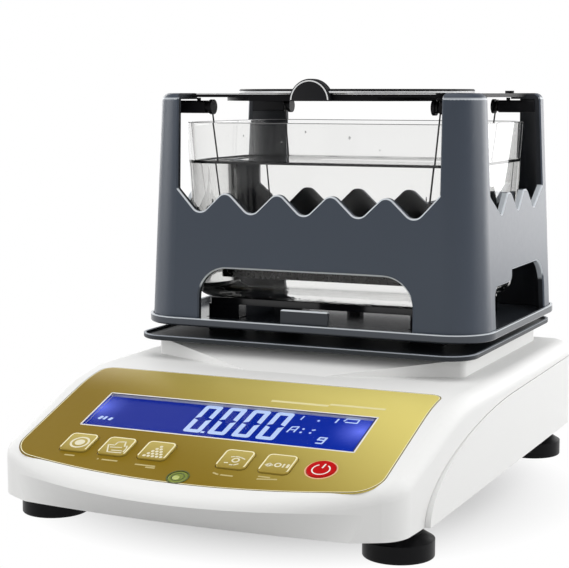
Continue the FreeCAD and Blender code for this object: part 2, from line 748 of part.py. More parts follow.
def load_cell_base():
    block = bar(-16, 16, CELL_FRONT - 4, CELL_FRONT + 22, FLOOR_TOP, CELL_Z)
    for x in (-CELL_BOLT_X, CELL_BOLT_X):
        block = block.cut(upright(1.8, x, CELL_FRONT + CELL_BOLT_Y, CELL_Z - 8, CELL_Z + 1))
    return block


def load_cell_screws():
    screws = []
    y = CELL_FRONT + CELL_BOLT_Y
    for x in (-CELL_BOLT_X, CELL_BOLT_X):
        head = upright(3.4, x, y, CELL_Z + CELL_HIGH, CELL_Z + CELL_HIGH + 3.5)
        shank = upright(1.75, x, y, CELL_Z - 7.5, CELL_Z + CELL_HIGH)
        screws.append(fused([head, shank]))
    return Part.makeCompound(screws)


def carrier_post():
    """Post from the load cell's free end up to the weighed plate."""
    low = CELL_Z + CELL_HIGH + DEFLECTION + RUN
    foot = slab(rectangle(10, CARRIER_Y - 6, CARRIER_Y + 11, 2), "XY", low, low + 4)
    column = upright(POST_R, 0, CARRIER_Y, low, PLATE_Z)
    head = upright(POST_R + 2.5, 0, CARRIER_Y, PLATE_Z - 2.5, PLATE_Z)
    post = fused([foot, column, head])
    return post.cut(upright(2.0, 0, CARRIER_Y, PLATE_Z - 12, PLATE_Z + 1))


def hub_screw():
    """Domed screw that holds the weighed plate down on its post."""
    shank = upright(1.95, 0, CARRIER_Y, PLATE_Z - 10, PLATE_FLOOR)
    head = upright(4.4, 0, CARRIER_Y, PLATE_FLOOR, PLATE_FLOOR + 3.2)
    head = rounded(head, 1.4, lambda edge: edge.BoundBox.ZMin > PLATE_FLOOR + 3)
    head = head.cut(upright(1.6, 0, CARRIER_Y, PLATE_FLOOR + 1.8, PLATE_FLOOR + 4))
    return fused([shank, head])


def main_board():
    top = BOARD_Z + BOARD_THICK
    board = bar(0, BOARD_WIDE, 0, BOARD_LONG, BOARD_Z, top)
    chips = [bar(6, 20, 12, 26, top, top + 1.6), bar(26, 38, 34, 44, top, top + 2)]
    posts = [
        upright(2.2, x, y, FLOOR_TOP, BOARD_Z)
        for x in (4, BOARD_WIDE - 4) for y in (4, BOARD_LONG - 4)
    ]
    return fused([board] + chips + posts).translated(Vector(BOARD_X, BOARD_Y, 0))


def battery_pack():
    pack = bar(PACK_X, PACK_X + PACK_WIDE, PACK_Y, PACK_Y + PACK_LONG, FLOOR_TOP, FLOOR_TOP + PACK_HIGH)
    return rounded(pack, 1.5, lambda edge: edge.Length > 20)


def socket_rod(radius, low, high):
    """Round bar through the rear wall at the socket, between two depths from its face."""
    start = Vector(SOCKET_X, REAR - low, REAR_PORT_Z)
    return rod(radius, start, Vector(SOCKET_X, REAR - high, REAR_PORT_Z))


def socket_hole(clear):
    return socket_rod(SOCKET_R + clear, 12, -5)


def power_socket():
    """Barrel socket for the mains adapter in the rear wall."""
    body = socket_rod(SOCKET_R, 12, 0.6)
    collar = socket_rod(SOCKET_R + 1.8, WALL + 2, WALL)
    well = socket_rod(3.2, 9, 0)
    pin = socket_rod(1.0, 9.5, 2)
    return fused([fused([body, collar]).cut(well), pin])


def port_corners(clear):
    return [(PORT_X - PORT_HALF - clear + 1.2, REAR_PORT_Z - PORT_TALL - clear, 2),
            (PORT_X + PORT_HALF + clear - 1.2, REAR_PORT_Z - PORT_TALL - clear, 2),
            (PORT_X + PORT_HALF + clear, REAR_PORT_Z + PORT_TALL + clear, 2),
            (PORT_X - PORT_HALF - clear, REAR_PORT_Z + PORT_TALL + clear, 2)]


def port_hole(clear):
    return slab(port_corners(clear), "XZ", REAR - 12, REAR + 5)


def serial_port():
    """Nine-way socket for a printer lead."""
    shell = slab(port_corners(0), "XZ", REAR - 11, REAR - 0.4)
    plate = bar(PORT_X - 15, PORT_X + 15, REAR - WALL - 1.2, REAR - WALL,
                REAR_PORT_Z - 6.5, REAR_PORT_Z + 6.5)
    port = fused([shell, plate])
    for row, count in ((1.4, 5), (-1.4, 4)):
        for i in range(count):
            x = PORT_X + (i - (count - 1) / 2) * 2.8
            port = port.cut(rod(0.7, Vector(x, REAR - 6, REAR_PORT_Z + row),
                                Vector(x, REAR, REAR_PORT_Z + row)))
    return port


# ---------------------------------------------------------------- deck plate and tank
DECK_SCREW_SITES = [(sx * 40.0, CARRIER_Y + sy * 30.0) for sx in (-1, 1) for sy in (-1, 1)]


def dished_plate(corners_at, low, sheet, rim):
    """Pressed plate: a flat floor inside an upturned rim. corners_at(inset) gives its outline."""
    plate = slab(corners_at(0), "XY", low, low + rim)
    plate = rounded(plate, 1.0, lambda edge: edge.BoundBox.ZMax < low + 0.01)
    return plate.cut(slab(corners_at(RIM_THICK), "XY", low + sheet, low + rim + 1))


def deck_plate():
    """Fixed plate on the pedestal that carries the tank table."""
    def corners(inset):
        return rectangle(DECK_PLATE_HALF - inset, DECK_PLATE_FRONT + inset, DECK_PLATE_REAR - inset,
                         DECK_PLATE_CORNER - inset)

    plate = dished_plate(corners, PEDESTAL_Z, DECK_PLATE_SHEET, DECK_PLATE_RIM)
    plate = plate.cut(upright(POST_HOLE, 0, CARRIER_Y, PEDESTAL_Z - 1, DECK_FLOOR + 1))
    for x, y in DECK_SCREW_SITES:
        plate = plate.cut(upright(HOUSING_SCREW_R + 0.2, x, y, PEDESTAL_Z - 1, DECK_FLOOR + 1))
    return plate


def deck_screws():
    screws = []
    for x, y in DECK_SCREW_SITES:
        head = upright(3.0, x, y, DECK_FLOOR, DECK_FLOOR + 1.6)
        shank = upright(HOUSING_SCREW_R - 0.05, x, y, PEDESTAL_Z - 6, DECK_FLOOR)
        screws.append(fused([head, shank]))
    return Part.makeCompound(screws)


LEG_SITES = [(sx * (TABLE_HALF - LEG_WIDE / 2), CARRIER_Y + sy * (TABLE_DEPTH - LEG_DEEP / 2))
             for sx in (-1, 1) for sy in (-1, 1)]


def tank_table():
    """Black table whose legs pass the weighed plate without touching it."""
    top = slab(rectangle(TABLE_HALF, CARRIER_Y - TABLE_DEPTH, CARRIER_Y + TABLE_DEPTH, 2.5), "XY",
               TABLE_TOP_Z - TABLE_SHEET, TABLE_TOP_Z)
    legs = [
        bar(x - LEG_WIDE / 2, x + LEG_WIDE / 2, y - LEG_DEEP / 2, y + LEG_DEEP / 2,
            DECK_FLOOR, TABLE_TOP_Z - TABLE_SHEET)
        for x, y in LEG_SITES
    ]
    return fused([top] + legs)


def tank_wire(half, depth, corner, z):
    return outline(rectangle(half, CARRIER_Y - depth, CARRIER_Y + depth, corner), "XY", z)


def tank():
    """Clear open tank, tapering a little towards its floor."""
    foot_half = TANK_HALF - TANK_TAPER
    foot_depth = TANK_DEPTH - TANK_TAPER
    outer = Part.makeLoft([
        tank_wire(foot_half, foot_depth, TANK_CORNER, TANK_FLOOR_Z),
        tank_wire(TANK_HALF, TANK_DEPTH, TANK_CORNER, TANK_RIM_Z),
    ], True, True)
    outer = rounded(outer, TANK_HEEL, lambda edge: edge.BoundBox.ZMax < TANK_FLOOR_Z + 0.01)
    inner = Part.makeLoft([
        tank_wire(foot_half - TANK_WALL, foot_depth - TANK_WALL, TANK_CORNER - TANK_WALL,
                  TANK_FLOOR_Z + TANK_WALL),
        tank_wire(TANK_HALF - TANK_WALL, TANK_DEPTH - TANK_WALL, TANK_CORNER - TANK_WALL, TANK_RIM_Z + 1),
    ], True, True)
    floor = TANK_FLOOR_Z + TANK_WALL
    inner = rounded(inner, TANK_HEEL - TANK_WALL, lambda edge: edge.BoundBox.ZMax < floor + 0.01)
    return outer.cut(inner)


# ---------------------------------------------------------------- weighed plate and cage
def carrier_plate():
    """Weighed plate with slots where the table's legs pass it."""
    def corners(inset):
        return rectangle(PLATE_HALF - inset, CARRIER_Y - PLATE_HALF_DEPTH + inset,
                         CARRIER_Y + PLATE_HALF_DEPTH - inset, PLATE_CORNER - inset)

    plate = dished_plate(corners, PLATE_Z, PLATE_SHEET, PLATE_RIM)
    plate = plate.cut(upright(2.1, 0, CARRIER_Y, PLATE_Z - 1, PLATE_FLOOR + 1))
    for x, y in LEG_SITES:
        half = LEG_WIDE / 2 + LEG_GAP
        deep = LEG_DEEP / 2 + LEG_GAP
        plate = plate.cut(bar(x - half, x + half, y - deep, y + deep, PLATE_Z - 1, PLATE_FLOOR + 1))
    return plate


def plate_lug():
    """Locating block at the front of the weighed plate, inside the cage's window."""
    front = CAGE_FRONT_Y + 0.6
    lug = bar(LUG_X - LUG_HALF, LUG_X + LUG_HALF, front, front + LUG_DEEP, PLATE_FLOOR, LUG_Z)
    return lug.makeChamfer(0.6, [edge for edge in lug.Edges if edge.BoundBox.ZMin > LUG_Z - 0.01])


def cage_wire(z, inset):
    """Level outline of the cage, which tapers from foot to top."""
    share = (z - CAGE_LOW_Z) / (CAGE_TOP_Z - CAGE_LOW_Z)
    half = CAGE_FOOT_HALF + (CAGE_TOP_HALF - CAGE_FOOT_HALF) * share - inset
    depth = CAGE_FOOT_DEPTH + (CAGE_TOP_DEPTH - CAGE_FOOT_DEPTH) * share - inset
    corner = CAGE_FOOT_CORNER + (CAGE_TOP_CORNER - CAGE_FOOT_CORNER) * share - inset
    return outline(rectangle(half, CARRIER_Y - depth, CARRIER_Y + depth, corner), "XY", z)


def cage_loft(low, high, inset):
    return Part.makeLoft([cage_wire(low, inset), cage_wire(high, inset)], True, True)


def wave_corners(centre, half, low, high, flat, radius):
    """Outline of an open bay whose lower edge is a row of waves, level along their crests."""
    top = CAGE_TOP_Z + 10
    valleys = int(2 * (half - WAVE_MARGIN) // WAVE_PITCH) + 1
    first = -(valleys - 1) / 2
    corners = [(centre - half, top, 0), (centre - half, high, 1.5)]
    for i in range(valleys):
        u = centre + (first + i) * WAVE_PITCH
        corners.append((u, low, radius))
        if i < valleys - 1:
            crest = u + WAVE_PITCH / 2
            corners += [(crest + share * flat, high, radius) for share in ((-0.5, 0.5) if flat else (0,))]
    corners += [(centre + half, high, 1.5), (centre + half, top, 0)]
    return corners


def broken(shell, low, high):
    """Chamfers the cage's outer edges between two heights, but not the level ones at the lower."""
    skin = cage_loft(CAGE_LOW_Z, CAGE_TOP_Z, 0).Shells[0]

    def on_skin(edge):
        span = edge.LastParameter - edge.FirstParameter
        points = [edge.valueAt(edge.FirstParameter + span * share) for share in (0.25, 0.5, 0.75)]
        return all(Part.Vertex(point).distToShape(skin)[0] < 1e-3 for point in points)

    boxes = [(edge, edge.BoundBox) for edge in shell.Edges]
    edges = [edge for edge, box in boxes if box.ZMin > low - 0.1 and low + 0.5 < box.ZMax < high]
    return shell.makeChamfer(EDGE_BREAK, [edge for edge in edges if on_skin(edge)])


def cage():
    """Tapered shell of four columns joined by low walls with wave edges and arched windows."""
    shell = cage_loft(CAGE_LOW_Z, CAGE_TOP_Z, 0)
    shell = rounded(shell, CAGE_ROUND, lambda edge: edge.BoundBox.ZMin > CAGE_TOP_Z - 0.01)
    shell = shell.cut(cage_loft(CAGE_LOW_Z - 5, CAGE_TOP_Z - CAGE_WALL, CAGE_WALL))
    reach = CAGE_FOOT_HALF + 10
    waves = wave_corners(0, BAY_HALF, WAVE_LOW, WAVE_HIGH, 0, WAVE_ROUND)
    shell = shell.cut(slab(waves, "XZ", CARRIER_Y - reach, CARRIER_Y + reach))
    waves = wave_corners(CARRIER_Y, BAY_SIDE, SIDE_WAVE_LOW, SIDE_WAVE_HIGH, SIDE_WAVE_FLAT,
                         SIDE_WAVE_ROUND)
    shell = shell.cut(slab(waves, "YZ", -reach, reach))
    low = CAGE_LOW_Z - 5
    arch = slab([(-ARCH_HALF, low, 0), (ARCH_HALF, low, 0),
                 (ARCH_HALF, ARCH_Z, ARCH_ROUND), (-ARCH_HALF, ARCH_Z, ARCH_ROUND)],
                "XZ", CARRIER_Y - reach, CARRIER_Y + reach)
    side_arch = slab([
        (CARRIER_Y - SIDE_ARCH_HALF, low, 0),
        (CARRIER_Y + SIDE_ARCH_HALF, low, 0),
        (CARRIER_Y + SIDE_ARCH_HALF, ARCH_Z, SIDE_ARCH_ROUND),
        (CARRIER_Y + SIDE_STEP_Y, ARCH_Z, 0.8),
        (CARRIER_Y + SIDE_STEP_Y, SIDE_STEP_Z, 4.0),
        (CARRIER_Y - SIDE_ARCH_HALF, SIDE_STEP_Z, SIDE_STEP_ROUND),
    ], "YZ", -reach, reach)
    shell = shell.cut(arch).cut(side_arch)
    shell = broken(shell, ARCH_Z + 1, CAGE_TOP_Z - CAGE_ROUND + 0.5)
    return broken(shell, CAGE_LOW_Z, ARCH_Z + 1)


def cage_inner_half(z):
    """Half width of the cage's inside at a height, on its flat side wall."""
    share = (z - CAGE_LOW_Z) / (CAGE_TOP_Z - CAGE_LOW_Z)
    return CAGE_FOOT_HALF + (CAGE_TOP_HALF - CAGE_FOOT_HALF) * share - CAGE_WALL


def hook_arm(hand, rear):
    """Hook bar from a column's inner face, with a neck for the basket's wire and an end flange."""
    y = CARRIER_Y + rear * ARM_Y
    root = cage_inner_half(ARM_Z - ARM_HIGH)
    section = rectangle(ARM_DEEP / 2, ARM_Z - ARM_HIGH / 2, ARM_Z + ARM_HIGH / 2, ARM_ROUND)
    shaft = slab(section, "YZ", hand * (NECK_X + NECK_LONG), hand * root).translated(Vector(0, y, 0))
    tip = Vector(ARM_END * hand, y, ARM_Z)
    flange = rod(FLANGE_R, tip, tip + Vector(FLANGE_THICK * hand, 0, 0))
    neck = rod(NECK_R, tip, tip + Vector((FLANGE_THICK + NECK_LONG + 1) * hand, 0, 0))
    arm = fused([shaft, flange, neck])
    return arm.common(cage_loft(CAGE_LOW_Z, CAGE_TOP_Z - CAGE_WALL, CAGE_WALL + SEAT))


def rest_pins():
    """Four short pins on the arms, on which the top tray lies."""
    return Part.makeCompound([
        upright(REST_PIN_R, sx * REST_PIN_X, CARRIER_Y + sy * ARM_Y, ARM_Z + ARM_HIGH / 2, TRAY_Z - RUN)
        for sx in (-1, 1) for sy in (-1, 1)
    ])


def arm_space(sx, sy):
    """The room that an arm and the wire hooked over it need under the tray."""
    reach = FLANGE_R + RUN
    inner, outer = sorted((sx * (ARM_END - RUN), sx * CAGE_TOP_HALF))
    y = CARRIER_Y + sy * ARM_Y
    return bar(inner, outer, y - reach, y + reach, ARM_Z, ARM_Z + reach)


# ---------------------------------------------------------------- top tray
def top_tray():
    """Cross-shaped tray that nests between the columns, with a round dish and a finger tab."""
    wing = BAY_SIDE - TRAY_GAP
    nave = BAY_HALF - TRAY_GAP
    top = TRAY_Z + TRAY_SHEET
    across = slab(rectangle(TRAY_WING, CARRIER_Y - wing, CARRIER_Y + wing, 2.5), "XY", TRAY_Z, top)
    along = slab(rectangle(nave, CARRIER_Y - TRAY_FRONT, CARRIER_Y + TRAY_FRONT, 6), "XY", TRAY_Z, top)
    saddle = slab(rectangle(TRAY_WING, CARRIER_Y - TRAY_FRONT, CARRIER_Y + TRAY_FRONT, 6), "XY",
                  TRAY_Z - SADDLE_DROP, TRAY_Z)
    saddle = saddle.common(upright(SADDLE_R, 0, CARRIER_Y, TRAY_Z - SADDLE_DROP, TRAY_Z))
    for sx in (-1, 1):
        for sy in (-1, 1):
            saddle = saddle.cut(arm_space(sx, sy))
    rim = upright(DISH_R, 0, CARRIER_Y, top, top + DISH_UP)
    rim = rounded(rim, 0.9, lambda edge: edge.BoundBox.ZMin > top + DISH_UP - 0.01)
    well = upright(DISH_R - DISH_RIM, 0, CARRIER_Y, TRAY_Z - 0.2, top + DISH_UP + 1)
    front = CARRIER_Y - TRAY_FRONT
    centre = Vector(0, front - TAB_PROUD, TRAY_Z - SADDLE_DROP)
    tab = rod(TAB_R, centre, centre + Vector(0, TAB_THICK, 0))
    tab = tab.makeChamfer(1.1, [edge for edge in tab.Edges if edge.BoundBox.YMax < front])
    tab = tab.common(bar(-TAB_R, TAB_R, front - 1, front + 3, centre.z, centre.z + TAB_R + 1))
    return fused([fused([across, along, saddle, rim]).cut(well), tab])


def tray_caps():
    """Low caps near the tray's rear corners."""
    top = TRAY_Z + TRAY_SHEET
    return Part.makeCompound([
        upright(CAP_R, hand * (BAY_HALF + 0.5), CARRIER_Y + BAY_SIDE - 4.5, top, top + CAP_HIGH)
        for hand in (-1, 1)
    ])


# ---------------------------------------------------------------- water basket
def basket():
    """Shallow perforated basket that hangs in the water."""
    def corners(inset):
        return rectangle(BASKET_HALF - inset, CARRIER_Y - BASKET_DEPTH + inset,
                         CARRIER_Y + BASKET_DEPTH - inset, BASKET_CORNER - inset)

    pan = slab(corners(0), "XY", BASKET_Z, BASKET_Z + BASKET_LIP)
    pan = pan.cut(slab(corners(BASKET_SHEET), "XY", BASKET_Z + BASKET_SHEET, BASKET_Z + BASKET_LIP + 1))
    columns, rows = (int((side - BASKET_MARGIN) // BASKET_HOLE_PITCH) for side in (BASKET_HALF, BASKET_DEPTH))
    holes = [
        upright(BASKET_HOLE_R, BASKET_HOLE_PITCH * i, CARRIER_Y + BASKET_HOLE_PITCH * j,
                BASKET_Z - 1, BASKET_Z + 2)
        for i in range(-columns, columns + 1) for j in range(-rows, rows + 1)
    ]
    return pan.cut(Part.makeCompound(holes))


def basket_wires():
    """Four wires from the basket's corners up to the arms, each hooked over its arm."""
    wires = []
    hook_r = NECK_R + WIRE_R + SEAT
    for sx in (-1, 1):
        for sy in (-1, 1):
            arm = Vector(sx * (NECK_X + NECK_LONG / 2), CARRIER_Y + sy * ARM_Y, ARM_Z)
            eye = Vector(sx * (BASKET_HALF - 4), CARRIER_Y + sy * (BASKET_DEPTH + WIRE_R + SEAT / 2),
                         BASKET_Z + 2)
            knee = Vector(eye.x, eye.y, BASKET_Z + BASKET_LIP + 3)
            rise = arm - Vector(0, sy * hook_r, 0)
            tip = arm + Vector(0, sy * hook_r, 0)
            bow = Part.makeTorus(hook_r, WIRE_R, arm, Vector(1, 0, 0))
            bow = bow.common(bar(arm.x - 5, arm.x + 5, arm.y - 9, arm.y + 9, ARM_Z, ARM_Z + 9))
            wires.append(fused([
                rod(WIRE_R, eye, knee),
                Part.makeSphere(WIRE_R, knee),
                rod(WIRE_R, knee, rise),
                Part.makeSphere(WIRE_R, rise),
                bow,
                rod(WIRE_R, tip, tip - Vector(0, 0, 2)),
            ]))
    return Part.makeCompound(wires)


# ---------------------------------------------------------------- all pieces
def pieces():
    made = {
        "top_cover": top_cover(),
        "bottom_shell": bottom_shell(),
        "housing_screws": housing_screws(),
        "panel_overlay": panel_overlay(),
        "display_window": display_window(),
        "lcd_module": lcd_module(),
        "key_board": key_board(),
        "key_switches": key_switches(),
        "level_vial": level_vial(),
        "level_cup": level_cup(),
        "main_board": main_board(),
        "battery_pack": battery_pack(),
        "load_cell": load_cell(),
        "load_cell_base": load_cell_base(),
        "load_cell_screws": load_cell_screws(),
        "power_socket": power_socket(),
        "serial_port": serial_port(),
        "foot_nuts": foot_nuts(),
        "deck_plate": deck_plate(),
        "deck_screws": deck_screws(),
        "tank_table": tank_table(),
        "tank": tank(),
        "carrier_post": carrier_post(),
        "carrier_plate": carrier_plate(),
        "hub_screw": hub_screw(),
        "plate_lug": plate_lug(),
        "cage": cage(),
        "rest_pins": rest_pins(),
        "top_tray": top_tray(),
        "tray_caps": tray_caps(),
        "basket": basket(),
        "basket_wires": basket_wires(),
        "key_power": power_key(),
    }
    for name in KEY_SITES:
        made[name] = square_key(name)
    for name in FOOT_SITES:
        made["foot_pad_" + name] = foot_pad(name)
        made["foot_stud_" + name] = foot_stud(name)
    for side, hand in (("left", -1), ("right", 1)):
        for end, rear in (("front", -1), ("rear", 1)):
            made["hook_arm_" + end + "_" + side] = hook_arm(hand, rear)
    return made


os.makedirs("parts", exist_ok=True)
for node, shape in pieces().items():
    shape.exportStep("parts/" + node + ".step")
    print(node, round(shape.Volume, 1), len(shape.Solids), shape.isValid())
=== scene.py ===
import math

import bmesh
import bpy
from mathutils import Matrix, Vector


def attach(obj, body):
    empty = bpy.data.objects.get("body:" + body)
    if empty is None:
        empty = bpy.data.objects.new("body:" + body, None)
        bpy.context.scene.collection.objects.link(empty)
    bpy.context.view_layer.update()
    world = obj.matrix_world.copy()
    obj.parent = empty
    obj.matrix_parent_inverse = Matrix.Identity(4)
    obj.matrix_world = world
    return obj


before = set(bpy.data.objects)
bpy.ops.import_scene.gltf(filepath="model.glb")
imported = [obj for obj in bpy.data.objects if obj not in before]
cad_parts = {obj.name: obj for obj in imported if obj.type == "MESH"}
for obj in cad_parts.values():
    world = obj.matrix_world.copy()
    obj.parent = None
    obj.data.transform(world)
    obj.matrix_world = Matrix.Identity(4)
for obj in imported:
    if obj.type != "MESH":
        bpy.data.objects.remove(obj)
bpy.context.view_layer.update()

# ---------------------------------------------------------------- housing shells
# The housing is two satin white injection-moulded shells. The upper one carries console and
# pedestal, the lower one ends in curved cheeks. Both have a very fine mould grain.


def effect(name, inputs, outputs):
    """A shader node group with named inputs (name: default) and outputs (name: kind)."""
    group = bpy.data.node_groups.new(name, "ShaderNodeTree")
    for label, default in inputs.items():
        kind = "NodeSocketColor" if isinstance(default, tuple) else "NodeSocketFloat"
        socket = group.interface.new_socket(label, in_out="INPUT", socket_type=kind)
        socket.default_value = default
    for label, kind in outputs.items():
        group.interface.new_socket(label, in_out="OUTPUT", socket_type="NodeSocket" + kind)
    return group, group.nodes.new("NodeGroupInput"), group.nodes.new("NodeGroupOutput")


def noise(tree, coordinates, scale, detail=2.0):
    """Soft noise at a scale, which is a number or a socket."""
    node = tree.nodes.new("ShaderNodeTexNoise")
    node.inputs["Detail"].default_value = detail
    tree.links.new(coordinates, node.inputs["Vector"])
    if isinstance(scale, (int, float)):
        node.inputs["Scale"].default_value = scale
    else:
        tree.links.new(scale, node.inputs["Scale"])
    return node.outputs["Fac"]


def remapped(tree, value, low, high, start=0.3, end=0.7, smooth=False):
    """A value carried from start..end to low..high, each limit a number or a socket."""
    node = tree.nodes.new("ShaderNodeMapRange")
    if smooth:
        node.interpolation_type = "SMOOTHSTEP"
    tree.links.new(value, node.inputs["Value"])
    limits = {"From Min": start, "From Max": end, "To Min": low, "To Max": high}
    for label, limit in limits.items():
        if isinstance(limit, (int, float)):
            node.inputs[label].default_value = limit
        else:
            tree.links.new(limit, node.inputs[label])
    return node.outputs["Result"]


def blended(tree, share, first, second):
    """Mix of two colours, each a tuple or a socket, by a share socket."""
    node = tree.nodes.new("ShaderNodeMix")
    node.data_type = "RGBA"
    tree.links.new(share, node.inputs["Factor"])
    for label, colour in (("A", first), ("B", second)):
        socket = [s for s in node.inputs if s.name == label and s.type == "RGBA"][0]
        if isinstance(colour, tuple):
            socket.default_value = colour
        else:
            tree.links.new(colour, socket)
    return [s for s in node.outputs if s.type == "RGBA"][0]


def combined(tree, operation, first, second=None):
    """A math node on one or two values, each a number or a socket."""
    node = tree.nodes.new("ShaderNodeMath")
    node.operation = operation
    for socket, value in zip(node.inputs, (first, second)):
        if isinstance(value, (int, float)):
            socket.default_value = value
        elif value is not None:
            tree.links.new(value, socket)
    return node.outputs[0]


def mould_surface():
    """Grain height, roughness and a faint tint drift of a moulded or coated surface."""
    group, entry, exit = effect(
        "mould_surface",
        {"Tint": (0.8, 0.8, 0.8, 1.0), "Drift": (0.75, 0.75, 0.74, 1.0), "Gloss": 0.3,
         "Spread": 0.05, "Grain": 900.0},
        {"Color": "Color", "Roughness": "Float", "Height": "Float"})
    place = group.nodes.new("ShaderNodeTexCoord").outputs["Object"]
    broad = noise(group, place, 14.0, 3.0)
    fine = noise(group, place, 420.0, 2.0)
    grain = noise(group, place, entry.outputs["Grain"], 1.0)
    rough = remapped(group, fine, entry.outputs["Gloss"],
                     combined(group, "ADD", entry.outputs["Gloss"], entry.outputs["Spread"]))
    colour = blended(group, remapped(group, broad, 0.0, 1.0), entry.outputs["Tint"],
                     entry.outputs["Drift"])
    group.links.new(colour, exit.inputs["Color"])
    group.links.new(rough, exit.inputs["Roughness"])
    group.links.new(grain, exit.inputs["Height"])
    return group


SURFACE = mould_surface()


def new_finish(name):
    """An empty material and its Principled shader."""
    material = bpy.data.materials.new(name)
    material.use_nodes = True
    return material, material.node_tree, material.node_tree.nodes["Principled BSDF"]


def object_axes(tree):
    """The X, Y and Z of the piece's own coordinates, as three sockets."""
    parts = tree.nodes.new("ShaderNodeSeparateXYZ")
    tree.links.new(tree.nodes.new("ShaderNodeTexCoord").outputs["Object"], parts.inputs["Vector"])
    return parts.outputs["X"], parts.outputs["Y"], parts.outputs["Z"]


def coated(name, tint, gloss, spread=0.04, grain=1400.0, depth=0.000003, metallic=0.0,
           drift=0.96, coat=0.0, specular=0.5, second=None, mask=None, mask_gloss=None):
    """A moulded, painted or plated finish; mask(tree) turns it to a second colour and gloss."""
    material, tree, shader = new_finish(name)
    surface = tree.nodes.new("ShaderNodeGroup")
    surface.node_tree = SURFACE
    surface.inputs["Tint"].default_value = (*tint, 1.0)
    surface.inputs["Drift"].default_value = (*[channel * drift for channel in tint], 1.0)
    surface.inputs["Gloss"].default_value = gloss
    surface.inputs["Spread"].default_value = spread
    surface.inputs["Grain"].default_value = grain
    colour, rough = surface.outputs["Color"], surface.outputs["Roughness"]
    if mask:
        share = mask(tree)
        colour = blended(tree, share, colour, (*second, 1.0))
        if mask_gloss:
            rough = remapped(tree, share, rough, mask_gloss, 0.0, 1.0)
    tree.links.new(colour, shader.inputs["Base Color"])
    tree.links.new(rough, shader.inputs["Roughness"])
    relief = tree.nodes.new("ShaderNodeBump")
    relief.inputs["Strength"].default_value = 0.4
    relief.inputs["Distance"].default_value = depth
    tree.links.new(surface.outputs["Height"], relief.inputs["Height"])
    tree.links.new(relief.outputs["Normal"], shader.inputs["Normal"])
    shader.inputs["Metallic"].default_value = metallic
    shader.inputs["Coat Weight"].default_value = coat
    shader.inputs["Coat Roughness"].default_value = 0.12
    shader.inputs["Specular IOR Level"].default_value = specular
    return material


def finish_nodes(material, *names):
    """Gives CAD nodes their finish."""
    for name in names:
        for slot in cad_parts[name].material_slots:
            slot.material = material


shell_white = coated("shell_white", (0.83, 0.83, 0.82), 0.45, spread=0.02, drift=0.99,
                     specular=0.12)
finish_nodes(shell_white, "top_cover", "bottom_shell")

# ---------------------------------------------------------------- screws, feet and their nuts
# Plated cross-head screws hold the lower shell. The levelling feet are black moulded pads on
# steel studs, and the studs turn in hexagon nuts pressed into the floor.

plated_steel = coated("plated_steel", (0.56, 0.57, 0.58), 0.24, metallic=1.0, grain=2200.0)
finish_nodes(plated_steel, "housing_screws", "foot_nuts", "deck_screws", "load_cell_screws",
             "serial_port", *[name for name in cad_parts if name.startswith("foot_stud_")])

foot_black = coated("foot_black", (0.004, 0.004, 0.005), 0.34, depth=0.00001, specular=0.12)
finish_nodes(foot_black, *[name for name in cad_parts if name.startswith("foot_pad_")])

# ---------------------------------------------------------------- inner works
# Circuit boards, a milled aluminium load cell on its block, the sealed battery and the black
# plastic cup, switches and sockets. They show through the openings only.

board_green = coated("board_green", (0.02, 0.13, 0.06), 0.4, grain=500.0, depth=0.00004)
finish_nodes(board_green, "main_board", "key_board")

milled_aluminium = coated("milled_aluminium", (0.72, 0.73, 0.75), 0.3, metallic=1.0, grain=1400.0)
finish_nodes(milled_aluminium, "load_cell", "load_cell_base", "carrier_post")

battery_grey = coated("battery_grey", (0.05, 0.05, 0.055), 0.45)
finish_nodes(battery_grey, "battery_pack")

inner_black = coated("inner_black", (0.015, 0.015, 0.016), 0.4)
finish_nodes(inner_black, "key_switches", "level_cup", "power_socket")

# ---------------------------------------------------------------- gold overlay
# The console face is a satin gold film, laid in a shallow pocket of the shell. A thin dark seam
# and a pale line run round its edge, and that pale line is a painted highlight. Soft dashes are
# printed on it, and the film's colour carries a painted sheen that lightens it towards its upper
# right.

CONSOLE_SLOPE = math.radians(18.6)
CONSOLE_AT = Vector((0.0, -0.067, 0.0519))
FILM_OUT = 0.00003      # printing stands this far off the surface below it
MM = 0.001


FILM_MIDDLE_Y = -0.085
SHEEN_X, SHEEN_Y = 4.0, 6.0             # how fast the sheen rises across and up the film
SHEEN_START, SHEEN_END = -0.25, 0.55


def painted_film_sheen(tree):
    """Painted sheen: rises from the film's lower left to its upper right corner."""
    x, y, _ = object_axes(tree)
    up = combined(tree, "SUBTRACT", y, FILM_MIDDLE_Y)
    along = combined(tree, "ADD", combined(tree, "MULTIPLY", x, SHEEN_X),
                     combined(tree, "MULTIPLY", up, SHEEN_Y))
    return remapped(tree, along, 0.0, 1.0, SHEEN_START, SHEEN_END, smooth=True)


# The pale second colour, laid over the film's upper right, is a painted sheen.
gold_film = coated("gold_film", (0.28, 0.180, 0.008), 0.40, spread=0.03, grain=2600.0,
                   metallic=0.35, drift=0.97, second=(0.95, 0.82, 0.25), mask=painted_film_sheen,
                   specular=0.1)
finish_nodes(gold_film, "panel_overlay")


def on_console(x, y, height=0.0):
    """Places a form, drawn about the origin with +Z outwards, on the sloping console face."""
    rise = (y - CONSOLE_AT.y) * math.tan(CONSOLE_SLOPE)
    foot = Matrix.Translation((x, y, CONSOLE_AT.z + rise))
    return foot @ Matrix.Rotation(CONSOLE_SLOPE, 4, "X") @ Matrix.Translation((0, 0, height))


def piece(name, form, material, body, smooth=0.5):
    """Makes a bmesh an object that rides on a body; smooth is the angle kept as an edge."""
    bmesh.ops.recalc_face_normals(form, faces=form.faces)
    mesh = bpy.data.meshes.new(name)
    form.to_mesh(mesh)
    form.free()
    mesh.materials.append(material)
    mesh.shade_smooth()
    mesh.set_sharp_from_angle(angle=smooth)
    made = bpy.data.objects.new(name, mesh)
    bpy.context.collection.objects.link(made)
    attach(made, body)
    return made


